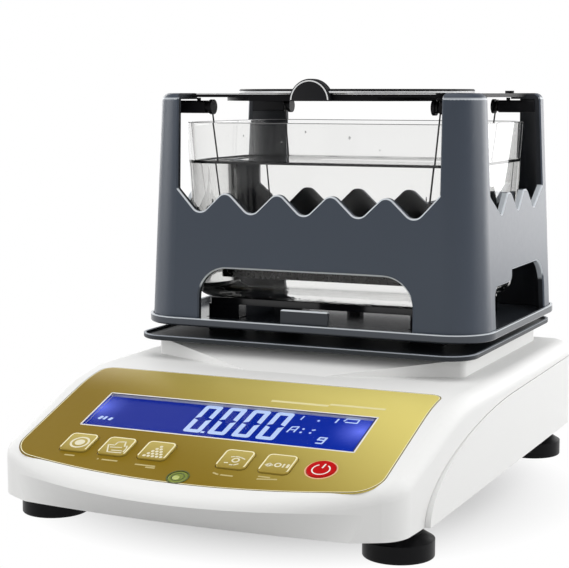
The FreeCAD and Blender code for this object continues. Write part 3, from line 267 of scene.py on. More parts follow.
def add_bar(form, length, width, thick, place):
    """Adds a flat bar centred on its place, standing on it by its thickness."""
    cube = bmesh.ops.create_cube(form, size=1.0)["verts"]
    bmesh.ops.scale(form, vec=(length, width, thick), verts=cube)
    bmesh.ops.translate(form, vec=(0, 0, thick / 2), verts=cube)
    bmesh.ops.transform(form, matrix=place, verts=cube)


def add_disc(form, radius, thick, place, sides=24):
    """Adds a low round pin standing on its place."""
    pin = bmesh.ops.create_cone(form, cap_ends=True, segments=sides, radius1=radius,
                                radius2=radius, depth=thick)["verts"]
    bmesh.ops.translate(form, vec=(0, 0, thick / 2), verts=pin)
    bmesh.ops.transform(form, matrix=place, verts=pin)


def add_line(form, points, width, thick, place):
    """Adds a printed line through points in millimetres, with round turns between its runs."""
    points = [Vector(point) * MM for point in points]
    for start, end in zip(points, points[1:]):
        run = end - start
        middle = Matrix.Translation(((start + end) / 2).to_3d())
        turn = Matrix.Rotation(math.atan2(run.y, run.x), 4, "Z")
        add_bar(form, run.length, width, thick, place @ middle @ turn)
    for point in points[1:-1]:
        add_disc(form, width / 2, thick, place @ Matrix.Translation(point.to_3d()), 12)


def add_ring(form, outer, inner, thick, place, start=0.0, sweep=math.tau, steps=40):
    """Adds a flat ring, or an arc of one, by spinning its section."""
    before = set(form.verts)
    corners = [form.verts.new(point) for point in
               ((inner, 0, 0), (outer, 0, 0), (outer, 0, thick), (inner, 0, thick))]
    section = form.faces.new(corners)
    bmesh.ops.rotate(form, cent=(0, 0, 0), matrix=Matrix.Rotation(start, 3, "Z"), verts=corners)
    full = abs(sweep - math.tau) < 1e-6
    geom = [*section.edges, *corners] if full else [section, *section.edges, *corners]
    if full:
        bmesh.ops.delete(form, geom=[section], context="FACES_ONLY")
    bmesh.ops.spin(form, geom=geom, cent=(0, 0, 0), axis=(0, 0, 1), angle=sweep, steps=steps,
                   use_merge=full, use_duplicate=False)
    bmesh.ops.transform(form, matrix=place, verts=[v for v in form.verts if v not in before])


def raise_sheet(form, faces, high):
    """Gives flat faces a thickness, keeping their underside."""
    grown = bmesh.ops.extrude_face_region(form, geom=faces, use_keep_orig=True)["geom"]
    bmesh.ops.translate(form, vec=(0, 0, high),
                        verts=[item for item in grown if isinstance(item, bmesh.types.BMVert)])


def rounded_plate(form, half_x, half_y, corner, steps=6):
    """Adds a flat plate about the origin with rounded corners, as one face."""
    before = set(form.verts)
    square = bmesh.ops.create_grid(form, x_segments=1, y_segments=1, size=1.0)["verts"]
    bmesh.ops.scale(form, vec=(half_x, half_y, 1), verts=square)
    bmesh.ops.bevel(form, geom=square, offset=corner, affect="VERTICES", segments=steps,
                    profile=0.5, material=-1)
    return [f for f in form.faces if not before.intersection(f.verts)]


FILM_HALF = 0.0854
FILM_TOP = -0.0390
FILM_LOW = -0.1298
FILM_BOW = 0.375        # radius of the film's lower edge
FILM_CORNER_TOP = 0.006
FILM_CORNER_LOW = 0.0104
LONG_EDGE = 0.03        # the film's longer edges are divided, so that they follow bow and bend
FILM_CUTS = 31
BEND_START = -0.06927   # the film follows the face's bend from here up, along the slope
BEND = 0.110            # radius of that bend
BEND_SHORT = 0.04       # the bent part is this much shorter along the slope


def film_drop(v):
    """How far the bent film lies under the console's plane at a distance along the slope."""
    past = max(0.0, v - BEND_START)
    return BEND - math.sqrt(BEND ** 2 - past ** 2)


def film_outline(form):
    """The film's outline as one face, drawn level; its low edge lies on the bow."""
    bow_y = FILM_LOW + FILM_BOW
    side_y = bow_y - math.sqrt(FILM_BOW ** 2 - FILM_HALF ** 2)
    square = bmesh.ops.create_grid(form, x_segments=1, y_segments=1, size=1.0)["verts"]
    bmesh.ops.scale(form, vec=(FILM_HALF, (FILM_TOP - side_y) / 2, 1), verts=square)
    bmesh.ops.translate(form, vec=(0, (FILM_TOP + side_y) / 2, 0), verts=square)
    for level, corner in ((FILM_TOP, FILM_CORNER_TOP), (side_y, FILM_CORNER_LOW)):
        ends = [v for v in form.verts
                if abs(v.co.y - level) < 1e-6 and abs(v.co.x) > 0.99 * FILM_HALF]
        bmesh.ops.bevel(form, geom=ends, offset=corner, affect="VERTICES", segments=8,
                        profile=0.5, material=-1)
    long_edges = [e for e in form.edges if e.calc_length() > LONG_EDGE]
    bmesh.ops.subdivide_edges(form, edges=long_edges, cuts=FILM_CUTS)
    for v in form.verts:
        if v.co.y < side_y + FILM_CORNER_LOW:
            v.co.y += bow_y - math.sqrt(FILM_BOW ** 2 - v.co.x ** 2) - side_y
    bmesh.ops.scale(form, vec=(1, 1 / math.cos(CONSOLE_SLOPE), 1), verts=form.verts)
    for v in form.verts:
        v.co.y -= BEND_SHORT * max(0.0, v.co.y - BEND_START)
    return list(form.faces)


def film_line(name, material, inset, wide, high):
    """A line of the film's own shape, a given way inside its edge."""
    form = bmesh.new()
    inner = film_outline(form)
    if inset:
        ring = bmesh.ops.inset_region(form, faces=inner, thickness=inset, use_boundary=True,
                                      use_even_offset=True)["faces"]
        bmesh.ops.delete(form, geom=ring, context="FACES")
        inner = list(form.faces)
    bmesh.ops.inset_region(form, faces=inner, thickness=wide, use_boundary=True,
                           use_even_offset=True)
    bmesh.ops.delete(form, geom=inner, context="FACES")
    raise_sheet(form, list(form.faces), high)
    for v in form.verts:
        v.co.z -= film_drop(v.co.y)
    form.transform(on_console(0, 0))
    piece(name, form, material, "base")


print_dull = coated("print_dull", (0.54, 0.45, 0.20), 0.45, specular=0.12)
seam_dark = coated("seam_dark", (0.09, 0.06, 0.02), 0.5)
# A pale cream colour that paints the highlight on the film's edge and on the lit edges of the
# keys' rims.
painted_rim_highlight = coated("painted_rim_highlight", (0.94, 0.87, 0.55), 0.35)
SEAM_WIDE = 0.00035
EDGE_HIGHLIGHT_WIDE = 0.0004
film_line("film_seam", seam_dark, 0.0, SEAM_WIDE, FILM_OUT)
film_line("film_edge_highlight", painted_rim_highlight, SEAM_WIDE, EDGE_HIGHLIGHT_WIDE, FILM_OUT)

KEY_Y = -0.1093
KEY_X = {"key_set": -0.0571, "key_print": -0.038, "key_count": -0.0186,
         "key_mode": 0.0186, "key_zero": 0.038}
CAPTION_HIGH = 0.0009
captions = bmesh.new()
for start, end in (((-58.8, -9.8), (-53.8, -9.8)), ((-42.3, -10.2), (-41.6, -10.2)),
                   ((-40.0, -10.3), (-32.3, -10.3)), ((-23.4, -11.0), (-13.7, -11.0)),
                   ((-17.7, -12.3), (-13.2, -12.3)), ((13.2, -10.6), (16.0, -11.6)),
                   ((17.0, -11.6), (22.7, -11.6)), ((33.4, -11.6), (42.0, -10.4)),
                   ((33.2, -9.6), (38.5, -9.6))):
    add_line(captions, (start, end), CAPTION_HIGH, FILM_OUT, on_console(0, KEY_Y))
piece("caption_dashes", captions, print_dull, "base")

print_soft = coated("print_soft", (0.80, 0.72, 0.36), 0.45)
WINDOW_Y = -0.0812
STRIP_WIDE = 0.0017
strips = bmesh.new()
for start, end, v in ((12.7, 40.1, 20.4), (40.3, 66.1, 21.8)):
    along = WINDOW_Y / math.cos(CONSOLE_SLOPE) + v * MM
    lean = Matrix.Rotation(-math.asin((along - BEND_START) / BEND), 4, "X")
    place = on_console(0, WINDOW_Y) @ Matrix.Translation((0, v * MM, -film_drop(along)))
    add_line(strips, ((start, 0), (end, 0)), STRIP_WIDE, FILM_OUT, place @ lean)
piece("film_strips", strips, print_soft, "base")

# ---------------------------------------------------------------- display
# A blue backlit segment display lies under a clear lens. Its digits read zero; the lens has a
# thin printed frame, and the backlight is brighter at both ends, where its lamps sit. A dark line
# inside the frame along its top and right sides is a painted shadow of the lens's recess.

lens_clear, tree, shader = new_finish("lens_clear")
shader.inputs["Base Color"].default_value = (0.97, 0.975, 1.0, 1.0)
shader.inputs["Transmission Weight"].default_value = 1.0
shader.inputs["IOR"].default_value = 1.15
shader.inputs["Specular Tint"].default_value = (0.05, 0.05, 0.05, 1.0)
wipe = noise(tree, tree.nodes.new("ShaderNodeTexCoord").outputs["Object"], 90.0, 3.0)
tree.links.new(remapped(tree, wipe, 0.02, 0.05), shader.inputs["Roughness"])
finish_nodes(lens_clear, "display_window")

LCD_DEPTH = -0.0022
LCD_BLUE = (0.002, 0.017, 0.28, 1.0)
LCD_RIGHT = (0.004, 0.026, 0.36, 1.0)
LCD_GLOW = (0.14, 0.19, 0.90, 1.0)
LAMP_SPOTS = ((-0.0660, 0.0040), (0.0610, 0.0050))
LAMP_NEAR, LAMP_FAR = 0.001, 0.016      # a lamp's glow falls off between these distances
lcd_blue, tree, shader = new_finish("lcd_blue")
across, _, _ = object_axes(tree)
blue = blended(tree, remapped(tree, across, 0.0, 1.0, 0.0, 0.06), LCD_BLUE, LCD_RIGHT)
for x, v in LAMP_SPOTS:
    lamp_at = on_console(x, WINDOW_Y, LCD_DEPTH) @ Vector((0, v, 0))
    away = tree.nodes.new("ShaderNodeVectorMath")
    away.operation = "DISTANCE"
    tree.links.new(tree.nodes.new("ShaderNodeTexCoord").outputs["Object"], away.inputs[0])
    away.inputs[1].default_value = lamp_at
    glow = remapped(tree, away.outputs["Value"], 1.0, 0.0, LAMP_NEAR, LAMP_FAR)
    share = combined(tree, "POWER", glow, 2.0)
    blue = blended(tree, share, blue, LCD_GLOW)
tree.links.new(blue, shader.inputs["Emission Color"])
shader.inputs["Base Color"].default_value = (0.004, 0.006, 0.03, 1.0)
shader.inputs["Emission Strength"].default_value = 1.0
shader.inputs["Roughness"].default_value = 0.4
shader.inputs["Specular IOR Level"].default_value = 0.0
finish_nodes(lcd_blue, "lcd_module")

segment_lit, tree, shader = new_finish("segment_lit")
flicker = noise(tree, tree.nodes.new("ShaderNodeTexCoord").outputs["Object"], 300.0)
pale = blended(tree, flicker, (0.46, 0.60, 0.91, 1.0), (0.52, 0.66, 0.95, 1.0))
tree.links.new(pale, shader.inputs["Emission Color"])
shader.inputs["Base Color"].default_value = (0.02, 0.02, 0.03, 1.0)
shader.inputs["Emission Strength"].default_value = 1.0

DIGIT_WIDE = 0.0086
DIGIT_HIGH = 0.0230
DIGIT_MIDDLE = 0.0025
DIGIT_CORNER = 0.0013
DIGIT_LEAN = 0.05
DIGIT_X = (-0.0126, -0.0007, 0.01085, 0.02225)
STROKE = 0.0024
SEGMENT_GAP = 0.0006
SEGMENT_WEDGE = 0.0011  # a stroke's inner side ends this far short of its outer side
SEGMENT_HIGH = 0.00006
display_face = on_console(0.0, WINDOW_Y, LCD_DEPTH)


def add_zero(form, x):
    """Adds a zero of lit segments: a rounded ring, parted at mid height."""
    before = set(form.verts)
    plate = rounded_plate(form, DIGIT_WIDE / 2, DIGIT_HIGH / 2, DIGIT_CORNER, 2)
    ring = bmesh.ops.inset_region(form, faces=plate, thickness=STROKE, use_boundary=True,
                                  use_even_offset=True)["faces"]
    bmesh.ops.delete(form, geom=plate, context="FACES")
    for level in (-SEGMENT_GAP / 2, SEGMENT_GAP / 2):
        ring = [f for f in form.faces if not before.intersection(f.verts)]
        geom = {item for f in ring for item in (f, *f.edges, *f.verts)}
        bmesh.ops.bisect_plane(form, geom=list(geom), plane_co=(0, level, 0), plane_no=(0, 1, 0))
    ring = [f for f in form.faces if not before.intersection(f.verts)]
    notch = [f for f in ring if abs(f.calc_center_median().y) < SEGMENT_GAP / 2]
    bmesh.ops.delete(form, geom=notch, context="FACES")
    for v in form.verts:
        inner_side = abs(v.co.x) < DIGIT_WIDE / 2 - STROKE * 0.9
        if v not in before and abs(v.co.y) < SEGMENT_GAP and inner_side:
            v.co.y += math.copysign(SEGMENT_WEDGE, v.co.y)
    raise_sheet(form, [f for f in form.faces if not before.intersection(f.verts)], SEGMENT_HIGH)
    lean = Matrix(((1, DIGIT_LEAN, 0, 0), (0, 1, 0, 0), (0, 0, 1, 0), (0, 0, 0, 1)))
    place = display_face @ Matrix.Translation((x, DIGIT_MIDDLE, 0)) @ lean
    bmesh.ops.transform(form, matrix=place, verts=[v for v in form.verts if v not in before])


digits = bmesh.new()
for x in DIGIT_X:
    add_zero(digits, x)
point_place = display_face @ Matrix.Translation((-0.0078, -0.0082, 0))
add_bar(digits, 0.0016, 0.0013, SEGMENT_HIGH, point_place)
piece("display_digits", digits, segment_lit, "base")

marks = bmesh.new()
for points, width in (
        (((-61.4, -6.0), (-60.3, -3.6)), 1.6), (((-58.8, -6.1), (-58.3, -3.4)), 1.3),
        (((-56.0, -6.2), (-55.2, -4.0)), 1.6),
        (((29.3, -1.5), (30.0, 3.15), (32.9, 3.7), (32.3, -0.95)), 0.7),
        (((30.2, 0.8), (32.7, 1.0)), 0.6),
        (((39.6, 2.0), (41.15, 2.5)), 0.8), (((31.2, 9.6), (31.7, 12.8)), 0.6),
        (((47.3, 9.7), (47.7, 13.2)), 0.8),
        (((50.5, 11.6), (51.4, 13.8), (57.0, 13.8), (56.8, 10.9), (51.4, 10.9)), 0.7),
        (((48.5, -3.0), (45.6, -3.0), (45.2, -5.0), (48.1, -5.0), (48.6, -2.9), (48.0, -7.6),
          (45.1, -7.6)), 0.8)):
    add_line(marks, points, width * MM, SEGMENT_HIGH, display_face)
DOT_R = 0.0006
for x, v in ((35.6, 2.3), (35.4, -0.5), (39.7, -0.3), (39.45, 10.0)):
    dot_place = display_face @ Matrix.Translation((x * MM, v * MM, 0))
    add_disc(marks, DOT_R, SEGMENT_HIGH, dot_place, 12)
piece("display_marks", marks, segment_lit, "base")

frame_white = coated("frame_white", (0.86, 0.84, 0.80), 0.35)
painted_recess_shadow = coated("painted_recess_shadow", (0.02, 0.02, 0.10), 0.4)
LENS_X, LENS_V = 65.4, 14.45            # half width and half height of the lens, millimetres
BORDER_WIDE, INNER_WIDE = 0.0007, 0.0006
INNER_IN = 0.75
border = bmesh.new()
add_line(border, ((-LENS_X, -LENS_V), (LENS_X, -LENS_V), (LENS_X, LENS_V), (-LENS_X, LENS_V),
                  (-LENS_X, -LENS_V)), BORDER_WIDE, 0.00008, on_console(0, WINDOW_Y))
piece("display_border", border, frame_white, "base")
# A dark line inside the frame along its right and top sides is a painted shadow of the lens's
# recess.
recess_shadow_line = bmesh.new()
near_x, near_v = LENS_X - INNER_IN, LENS_V - INNER_IN
add_line(recess_shadow_line, ((near_x, -near_v), (near_x, near_v), (-near_x, near_v)), INNER_WIDE, 0.00005,
         on_console(0, WINDOW_Y))
piece("display_recess_shadow", recess_shadow_line, painted_recess_shadow, "base")

# ---------------------------------------------------------------- keys
# Five gold keys with a raised rim on three sides and a printed sign, and a round red power key
# with a pale ring. The rims' cream is a painted highlight, and the keys are painted darker towards
# their lower edge. Each key is pressed along the console's normal.

KEY_TOP = 0.0008
KEY_HALF_X = 0.0068
KEY_HALF_V = 0.00695


def painted_key_shading(tree):
    """Painted shading: rises from a key's darker lower edge to its lighter upper edge."""
    x, y, _ = object_axes(tree)
    return remapped(tree, y, 0.0, 1.0, KEY_Y - 0.0070, KEY_Y + 0.0062)


# The keys' gold is lighter at their upper edge and darker at their lower edge: painted shading.
key_gold = coated("key_gold", (0.40, 0.29, 0.050), 0.36, metallic=0.3, grain=2600.0,
                  second=(0.60, 0.48, 0.13), mask=painted_key_shading, specular=0.15)
finish_nodes(key_gold, *KEY_X)
key_red = coated("key_red", (0.52, 0.002, 0.004), 0.3, specular=0.1)
finish_nodes(key_red, "key_power")
print_white = coated("print_white", (0.86, 0.85, 0.80), 0.35)
print_cream = coated("print_cream", (0.78, 0.73, 0.53), 0.4, specular=0.12)


def key_rim(wide, high):
    """A bead round a key's top edge, open along the shaded lower edge, that carries a painted
    highlight.
    """
    form = bmesh.new()
    plate = rounded_plate(form, KEY_HALF_X - 0.0002, KEY_HALF_V - 0.0002, 0.0022)
    bmesh.ops.inset_region(form, faces=plate, thickness=wide, use_boundary=True,
                           use_even_offset=True)
    bmesh.ops.delete(form, geom=plate, context="FACES")
    bmesh.ops.bisect_plane(form, geom=[*form.verts, *form.edges, *form.faces],
                           plane_co=(0, -KEY_HALF_V + 0.0016, 0), plane_no=(0, -1, 0),
                           clear_outer=True)
    raise_sheet(form, list(form.faces), high)
    return form


# Each rim's cream colour paints the highlight on the key's lit edges.
for key, x in KEY_X.items():
    rim = key_rim(0.0006, 0.00012)
    rim.transform(on_console(x, KEY_Y, KEY_TOP - 0.00004))
    piece(key + "_rim", rim, painted_rim_highlight, key)

signs = {key: bmesh.new() for key in [*KEY_X, "key_power"]}


def draw_sign(key, points, width):
    """Prints a line on a key's top; the points are measured from the row of keys' middle."""
    add_line(signs[key], points, width * MM, FILM_OUT, on_console(0, KEY_Y, KEY_TOP))


def sign_spot(x, v):
    """A spot on a key's top, in millimetres, measured as the signs' points are."""
    return on_console(0, KEY_Y, KEY_TOP) @ Matrix.Translation((x * MM, v * MM, 0))


add_ring(signs["key_set"], 0.0045, 0.0035, FILM_OUT, sign_spot(-56.4, -0.4))
add_disc(signs["key_set"], 0.0023, FILM_OUT, sign_spot(-56.4, -0.4))

draw_sign("key_print", ((-39.9, -5.5), (-42.4, 0.3), (-39.3, 0.4), (-39.0, 3.0), (-35.6, 3.7),
                        (-34.4, 0.1), (-33.3, 0.7), (-32.7, -1.7), (-32.75, -4.2)), 0.65)
draw_sign("key_print", ((-40.7, -1.5), (-35.1, -0.9)), 0.6)
draw_sign("key_print", ((-38.9, -3.7), (-33.6, -3.5)), 0.6)
draw_sign("key_print", ((-39.6, -5.3), (-33.2, -5.0)), 0.6)

for row in range(5):
    for i in range(row + 1):
        x = -17.8 + (i - row / 2) * 2.0 - 0.08 * row
        add_disc(signs["key_count"], 0.00078, FILM_OUT, sign_spot(x, 2.9 - row * 1.95), 12)

draw_sign("key_mode", ((15.0, -3.6), (16.8, -3.4)), 0.7)
draw_sign("key_mode", ((16.1, 1.0), (18.0, 1.8), (20.6, 1.4), (22.9, 0.3)), 0.65)
add_ring(signs["key_mode"], 0.0018, 0.0011, FILM_OUT, sign_spot(19.2, -1.0))
draw_sign("key_mode", ((17.8, -4.7), (19.7, -4.7), (21.6, -3.4)), 0.65)

draw_sign("key_zero", ((33.1, -2.1), (34.6, -0.6), (36.0, -1.6), (34.6, -2.6), (33.4, -1.9)), 0.9)
add_ring(signs["key_zero"], 0.0016, 0.0009, FILM_OUT, sign_spot(38.4, -1.1))
draw_sign("key_zero", ((41.0, -2.6), (41.0, 0.2)), 0.8)
draw_sign("key_zero", ((42.9, -2.6), (42.9, 0.2)), 1.1)

add_ring(signs["key_power"], 0.0040, 0.0034, FILM_OUT, sign_spot(57.4, -0.9),
         math.radians(122), math.radians(296))
draw_sign("key_power", ((57.55, 0.2), (57.9, 3.4)), 0.7)
for key in KEY_X:
    piece(key + "_sign", signs[key], print_cream, key)
piece("key_power_sign", signs["key_power"], print_white, "key_power")

ring_pale = coated("ring_pale", (0.86, 0.52, 0.30), 0.35)
power_ring = bmesh.new()
add_ring(power_ring, 0.0070, 0.0064, 0.00014, on_console(0.0571, KEY_Y))
piece("power_key_ring", power_ring, ring_pale, "base")

# ---------------------------------------------------------------- bubble level
# A round spirit level with green fluid. A ring is printed under its dome, and the bubble rests
# inside the ring.

level_green = coated("level_green", (0.20, 0.25, 0.030), 0.2, coat=0.3)
finish_nodes(level_green, "level_vial")
level_dark = coated("level_dark", (0.085, 0.11, 0.018), 0.3)
bubble_pale = coated("bubble_pale", (0.50, 0.56, 0.16), 0.15, coat=0.4)
LEVEL_Y = -0.1252
level_face = on_console(0, LEVEL_Y, 0.0001)
rings = bmesh.new()
add_ring(rings, 0.0050, 0.0044, 0.00008, level_face)
add_ring(rings, 0.0030, 0.0025, 0.00006, level_face)
piece("level_marks", rings, level_dark, "base")
bubble = bmesh.new()
ball = bmesh.ops.create_uvsphere(bubble, u_segments=20, v_segments=10, radius=0.0016)["verts"]
bmesh.ops.scale(bubble, vec=(1, 1, 0.12), verts=ball)
bubble_place = level_face @ Matrix.Translation((-0.0006, -0.0006, 0))
bmesh.ops.transform(bubble, matrix=bubble_place, verts=ball)
piece("level_bubble", bubble, bubble_pale, "base")

# ---------------------------------------------------------------- plates, table and hub
# Two pressed plates with a dark coat: one fixed on the pedestal, one weighed. The tank stands
# on a black table whose legs pass the weighed plate; a black screw holds that plate.

def above(level):
    """A mask of what lies above a level of the piece, such as the top edge of a rim, where a pale
    highlight is painted.
    """
    def mask(tree):
        return remapped(tree, object_axes(tree)[2], 0.0, 1.0, level - 0.0002, level)
    return mask


# The pale second colours of both plates paint a highlight along the top edges of their rims.
plate_coat = coated("plate_coat", (0.062, 0.070, 0.084), 0.16, spread=0.02, metallic=0.4,
                    depth=0.000001, second=(0.62, 0.66, 0.70), mask=above(0.0777))
finish_nodes(plate_coat, "carrier_plate")
deck_coat = coated("deck_coat", (0.018, 0.022, 0.028), 0.42, spread=0.02, depth=0.000001,
                   specular=0.3, second=(0.34, 0.37, 0.41), mask=above(0.0696))
finish_nodes(deck_coat, "deck_plate")
black_gloss = coated("black_gloss", (0.006, 0.006, 0.008), 0.14, spread=0.03)
finish_nodes(black_gloss, "tank_table", "hub_screw")
tray_black = coated("tray_black", (0.005, 0.005, 0.006), 0.45, specular=0.10)
finish_nodes(tray_black, "top_tray")
black_flat = coated("black_flat", (0.006, 0.006, 0.008), 0.55, specular=0.25)
finish_nodes(black_flat, "tray_caps", "rest_pins",
             *[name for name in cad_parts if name.startswith("hook_arm_")])

# ---------------------------------------------------------------- top tray
# The tray is a thin black pressed sheet with a round raised dish. A half-round finger tab is
# fixed upright in front of it. Pale silver lines along the tray's front, round the tab and round
# the dish are painted highlights of their edges.

TRAY_FRONT_Y = 0.0113
TRAY_HIGHLIGHT_Z = 0.1880
TAB_Z = 0.1846          # level of the finger tab's middle
TAB_FACE_Y = 0.0078
TAB_R = 0.0106
TAB_THICK = 0.0034
tray_up = Matrix.Translation((0, TAB_FACE_Y, TAB_Z)) @ Matrix.Rotation(math.radians(90), 4, "X")
finger_tab = bmesh.new()
bmesh.ops.create_cone(finger_tab, cap_ends=True, segments=72, radius1=TAB_R, radius2=TAB_R,
                      depth=TAB_THICK)
bmesh.ops.translate(finger_tab, vec=(0, 0, -TAB_THICK / 2), verts=finger_tab.verts)
front_rim = [e for e in finger_tab.edges if all(v.co.z > -1e-6 for v in e.verts)]
bmesh.ops.bevel(finger_tab, geom=front_rim, offset=0.0009, affect="EDGES", segments=3,
                profile=0.5, material=-1)
whole = [*finger_tab.verts, *finger_tab.edges, *finger_tab.faces]
half = bmesh.ops.bisect_plane(finger_tab, geom=whole, plane_co=(0, 0, 0), plane_no=(0, -1, 0),
                              clear_outer=True)
bmesh.ops.contextual_create(finger_tab, geom=[e for e in half["geom_cut"]
                                              if isinstance(e, bmesh.types.BMEdge)])
finger_tab.transform(tray_up)
piece("finger_tab", finger_tab, black_flat, "tray")

# A pale silver colour that paints the highlights along the tray's edges, the tab and the dish.
painted_edge_highlight = coated("painted_edge_highlight", (0.86, 0.87, 0.88), 0.3)
tray_highlights = bmesh.new()
add_ring(tray_highlights, 0.0099, 0.0093, 0.00006, tray_up, 0.06, math.pi - 0.12)
for side in (-1, 1):
    line_at = Matrix.Translation((side * 0.0365, TRAY_FRONT_Y, TRAY_HIGHLIGHT_Z))
    add_bar(tray_highlights, 0.0515, 0.0004, 0.00005,
            line_at @ Matrix.Rotation(math.radians(90), 4, "X"))
piece("tray_edge_highlights", tray_highlights, painted_edge_highlight, "tray")
dish_edge_highlight = bmesh.new()
add_ring(dish_edge_highlight, 0.06006, 0.0598, 0.0008, Matrix.Translation((0, 0.0683, 0.1885)), steps=96)
piece("dish_edge_highlight", dish_edge_highlight, painted_edge_highlight, "tray")

# The pale second colour paints a highlight along the lug's top edge.
lug_slate = coated("lug_slate", (0.022, 0.027, 0.036), 0.35, second=(0.66, 0.70, 0.74),
                   mask=above(0.0843))
finish_nodes(lug_slate, "plate_lug")

# ---------------------------------------------------------------- cage
# The cage is one slate-grey moulding with a satin surface: four columns joined by a low wall
# whose upper edge is a row of waves. Its inner faces are darkened with painted shade, and the
# chamfered outer edges of waves and windows carry a pale painted highlight.

CARRIER_Y = 0.0683


def cage_inner_shade(tree):
    """1 on faces that look towards the cage's own middle, where shade is painted."""
    place = tree.nodes.new("ShaderNodeTexCoord")
    outwards = tree.nodes.new("ShaderNodeVectorMath")
    outwards.operation = "SUBTRACT"
    tree.links.new(place.outputs["Object"], outwards.inputs[0])
    outwards.inputs[1].default_value = (0.0, CARRIER_Y, 0.13)
    level = tree.nodes.new("ShaderNodeVectorMath")
    level.operation = "MULTIPLY"
    tree.links.new(outwards.outputs["Vector"], level.inputs[0])
    level.inputs[1].default_value = (1.0, 1.0, 0.0)
    facing = tree.nodes.new("ShaderNodeVectorMath")
    facing.operation = "DOT_PRODUCT"
    tree.links.new(level.outputs["Vector"], facing.inputs[0])
    tree.links.new(place.outputs["Normal"], facing.inputs[1])
    return remapped(tree, facing.outputs["Value"], 1.0, 0.0, -0.020, -0.008)


# The second, darker colour paints the shade on the cage's inner faces.
cage_slate = coated("cage_slate", (0.043, 0.057, 0.082), 0.36, spread=0.02,
                    second=(0.018, 0.021, 0.027), mask=cage_inner_shade, mask_gloss=0.7)
cage_tree = cage_slate.node_tree
upwards = cage_tree.nodes.new("ShaderNodeSeparateXYZ")
cage_tree.links.new(cage_tree.nodes.new("ShaderNodeTexCoord").outputs["Normal"],
                    upwards.inputs["Vector"])
base = cage_tree.nodes["Principled BSDF"].inputs["Base Color"]
across, _, height = object_axes(cage_tree)
SIDE_FROM = 0.080       # the side walls lie further out than this
CAPS_FROM = 0.1855      # the column tops lie above this and keep their colour


def size_between(value, start, end):
    """0 to 1 as the size of a value, whatever its sign, passes from start to end."""
    return remapped(cage_tree, combined(cage_tree, "ABSOLUTE", value), 0.0, 1.0, start, end)


# The pale colour on chamfers facing front or sideways, below the column tops, is a painted
# highlight.
bevel_front = size_between(upwards.outputs["Y"], 0.30, 0.45)
bevel_side = combined(cage_tree, "MULTIPLY", size_between(upwards.outputs["X"], 0.30, 0.45),
                      size_between(across, SIDE_FROM, SIDE_FROM + 0.001))
edge = combined(cage_tree, "MULTIPLY",
                combined(cage_tree, "MAXIMUM", bevel_front, bevel_side),
                size_between(upwards.outputs["Z"], 0.20, 0.30))
edge = combined(cage_tree, "MULTIPLY", edge,
                remapped(cage_tree, height, 1.0, 0.0, CAPS_FROM, CAPS_FROM + 0.001))
cage_edge_highlight = (0.62, 0.66, 0.70, 1.0)
cage_tree.links.new(blended(cage_tree, edge, base.links[0].from_socket, cage_edge_highlight), base)
finish_nodes(cage_slate, "cage")

# ---------------------------------------------------------------- tank and water
# The tank is clear cast acrylic. The water's surface creeps up its walls in a narrow meniscus,
# whose dark look is painted as a shade line, and a few drops cling to the wall above it.

tank_clear, tree, shader = new_finish("tank_clear")
shader.inputs["Base Color"].default_value = (0.925, 0.925, 0.92, 1.0)
shader.inputs["Transmission Weight"].default_value = 1.0
shader.inputs["IOR"].default_value = 1.49
shader.inputs["Specular IOR Level"].default_value = 0.12
shader.inputs["Specular Tint"].default_value = (0.25, 0.25, 0.25, 1.0)
haze = noise(tree, tree.nodes.new("ShaderNodeTexCoord").outputs["Object"], 45.0, 3.0)
tree.links.new(remapped(tree, haze, 0.0, 0.02), shader.inputs["Roughness"])
finish_nodes(tank_clear, "tank")

water_clear, tree, shader = new_finish("water_clear")
shader.inputs["Base Color"].default_value = (1.0, 1.0, 0.998, 1.0)
shader.inputs["Transmission Weight"].default_value = 1.0
shader.inputs["IOR"].default_value = 1.333
shader.inputs["Specular IOR Level"].default_value = 0.12
shader.inputs["Specular Tint"].default_value = (0.25, 0.25, 0.25, 1.0)
ripple = noise(tree, tree.nodes.new("ShaderNodeTexCoord").outputs["Object"], 18.0, 1.0)
tree.links.new(remapped(tree, ripple, 0.0, 0.008), shader.inputs["Roughness"])

TANK_FOOT = 0.0856
TANK_RIM = 0.174
TANK_HALF = Vector((0.077, 0.0545))
TANK_TAPER = 0.004
TANK_WALL = 0.0024
TANK_CORNER = 0.0166
WATER_LEVEL = 0.1537
BITE = 0.0002           # the water reaches this far into the wall, so that no air gap shows


def tank_inside(z):
    """Half width, half depth and corner radius of the tank's inside at a height."""
    share = (z - TANK_FOOT) / (TANK_RIM - TANK_FOOT)
    lean = TANK_TAPER * (1 - share) + TANK_WALL
    return TANK_HALF.x - lean, TANK_HALF.y - lean, TANK_CORNER


def add_water_ring(form, z, inset):
    """One level outline of the water as a loop of edges."""
    half_x, half_y, corner = tank_inside(z)
    inset -= BITE
    plane = rounded_plate(form, half_x - inset, half_y - inset, max(corner - inset, 0.0008), 8)
    verts = {v for f in plane for v in f.verts}
    bmesh.ops.translate(form, vec=(0, CARRIER_Y, z), verts=list(verts))
    rim = list(plane[0].edges)
    bmesh.ops.delete(form, geom=plane, context="FACES_ONLY")
    return rim


water = bmesh.new()
levels = [add_water_ring(water, TANK_FOOT + TANK_WALL + height, inset)
          for height, inset in ((-BITE, 0.0046), (0.0003, 0.0026), (0.0013, 0.0012),
                                (0.0026, 0.0003), (0.0046, 0.0))]
levels += [add_water_ring(water, WATER_LEVEL + height, inset)
           for height, inset in ((0.0013, 0.0), (0.0006, 0.0005), (0.0002, 0.0012), (0.0, 0.0026))]
for low, high in zip(levels, levels[1:]):
    bmesh.ops.bridge_loops(water, edges=low + high)
for rim in (levels[0], levels[-1]):
    bmesh.ops.contextual_create(water, geom=rim)
piece("water", water, water_clear, "tank")

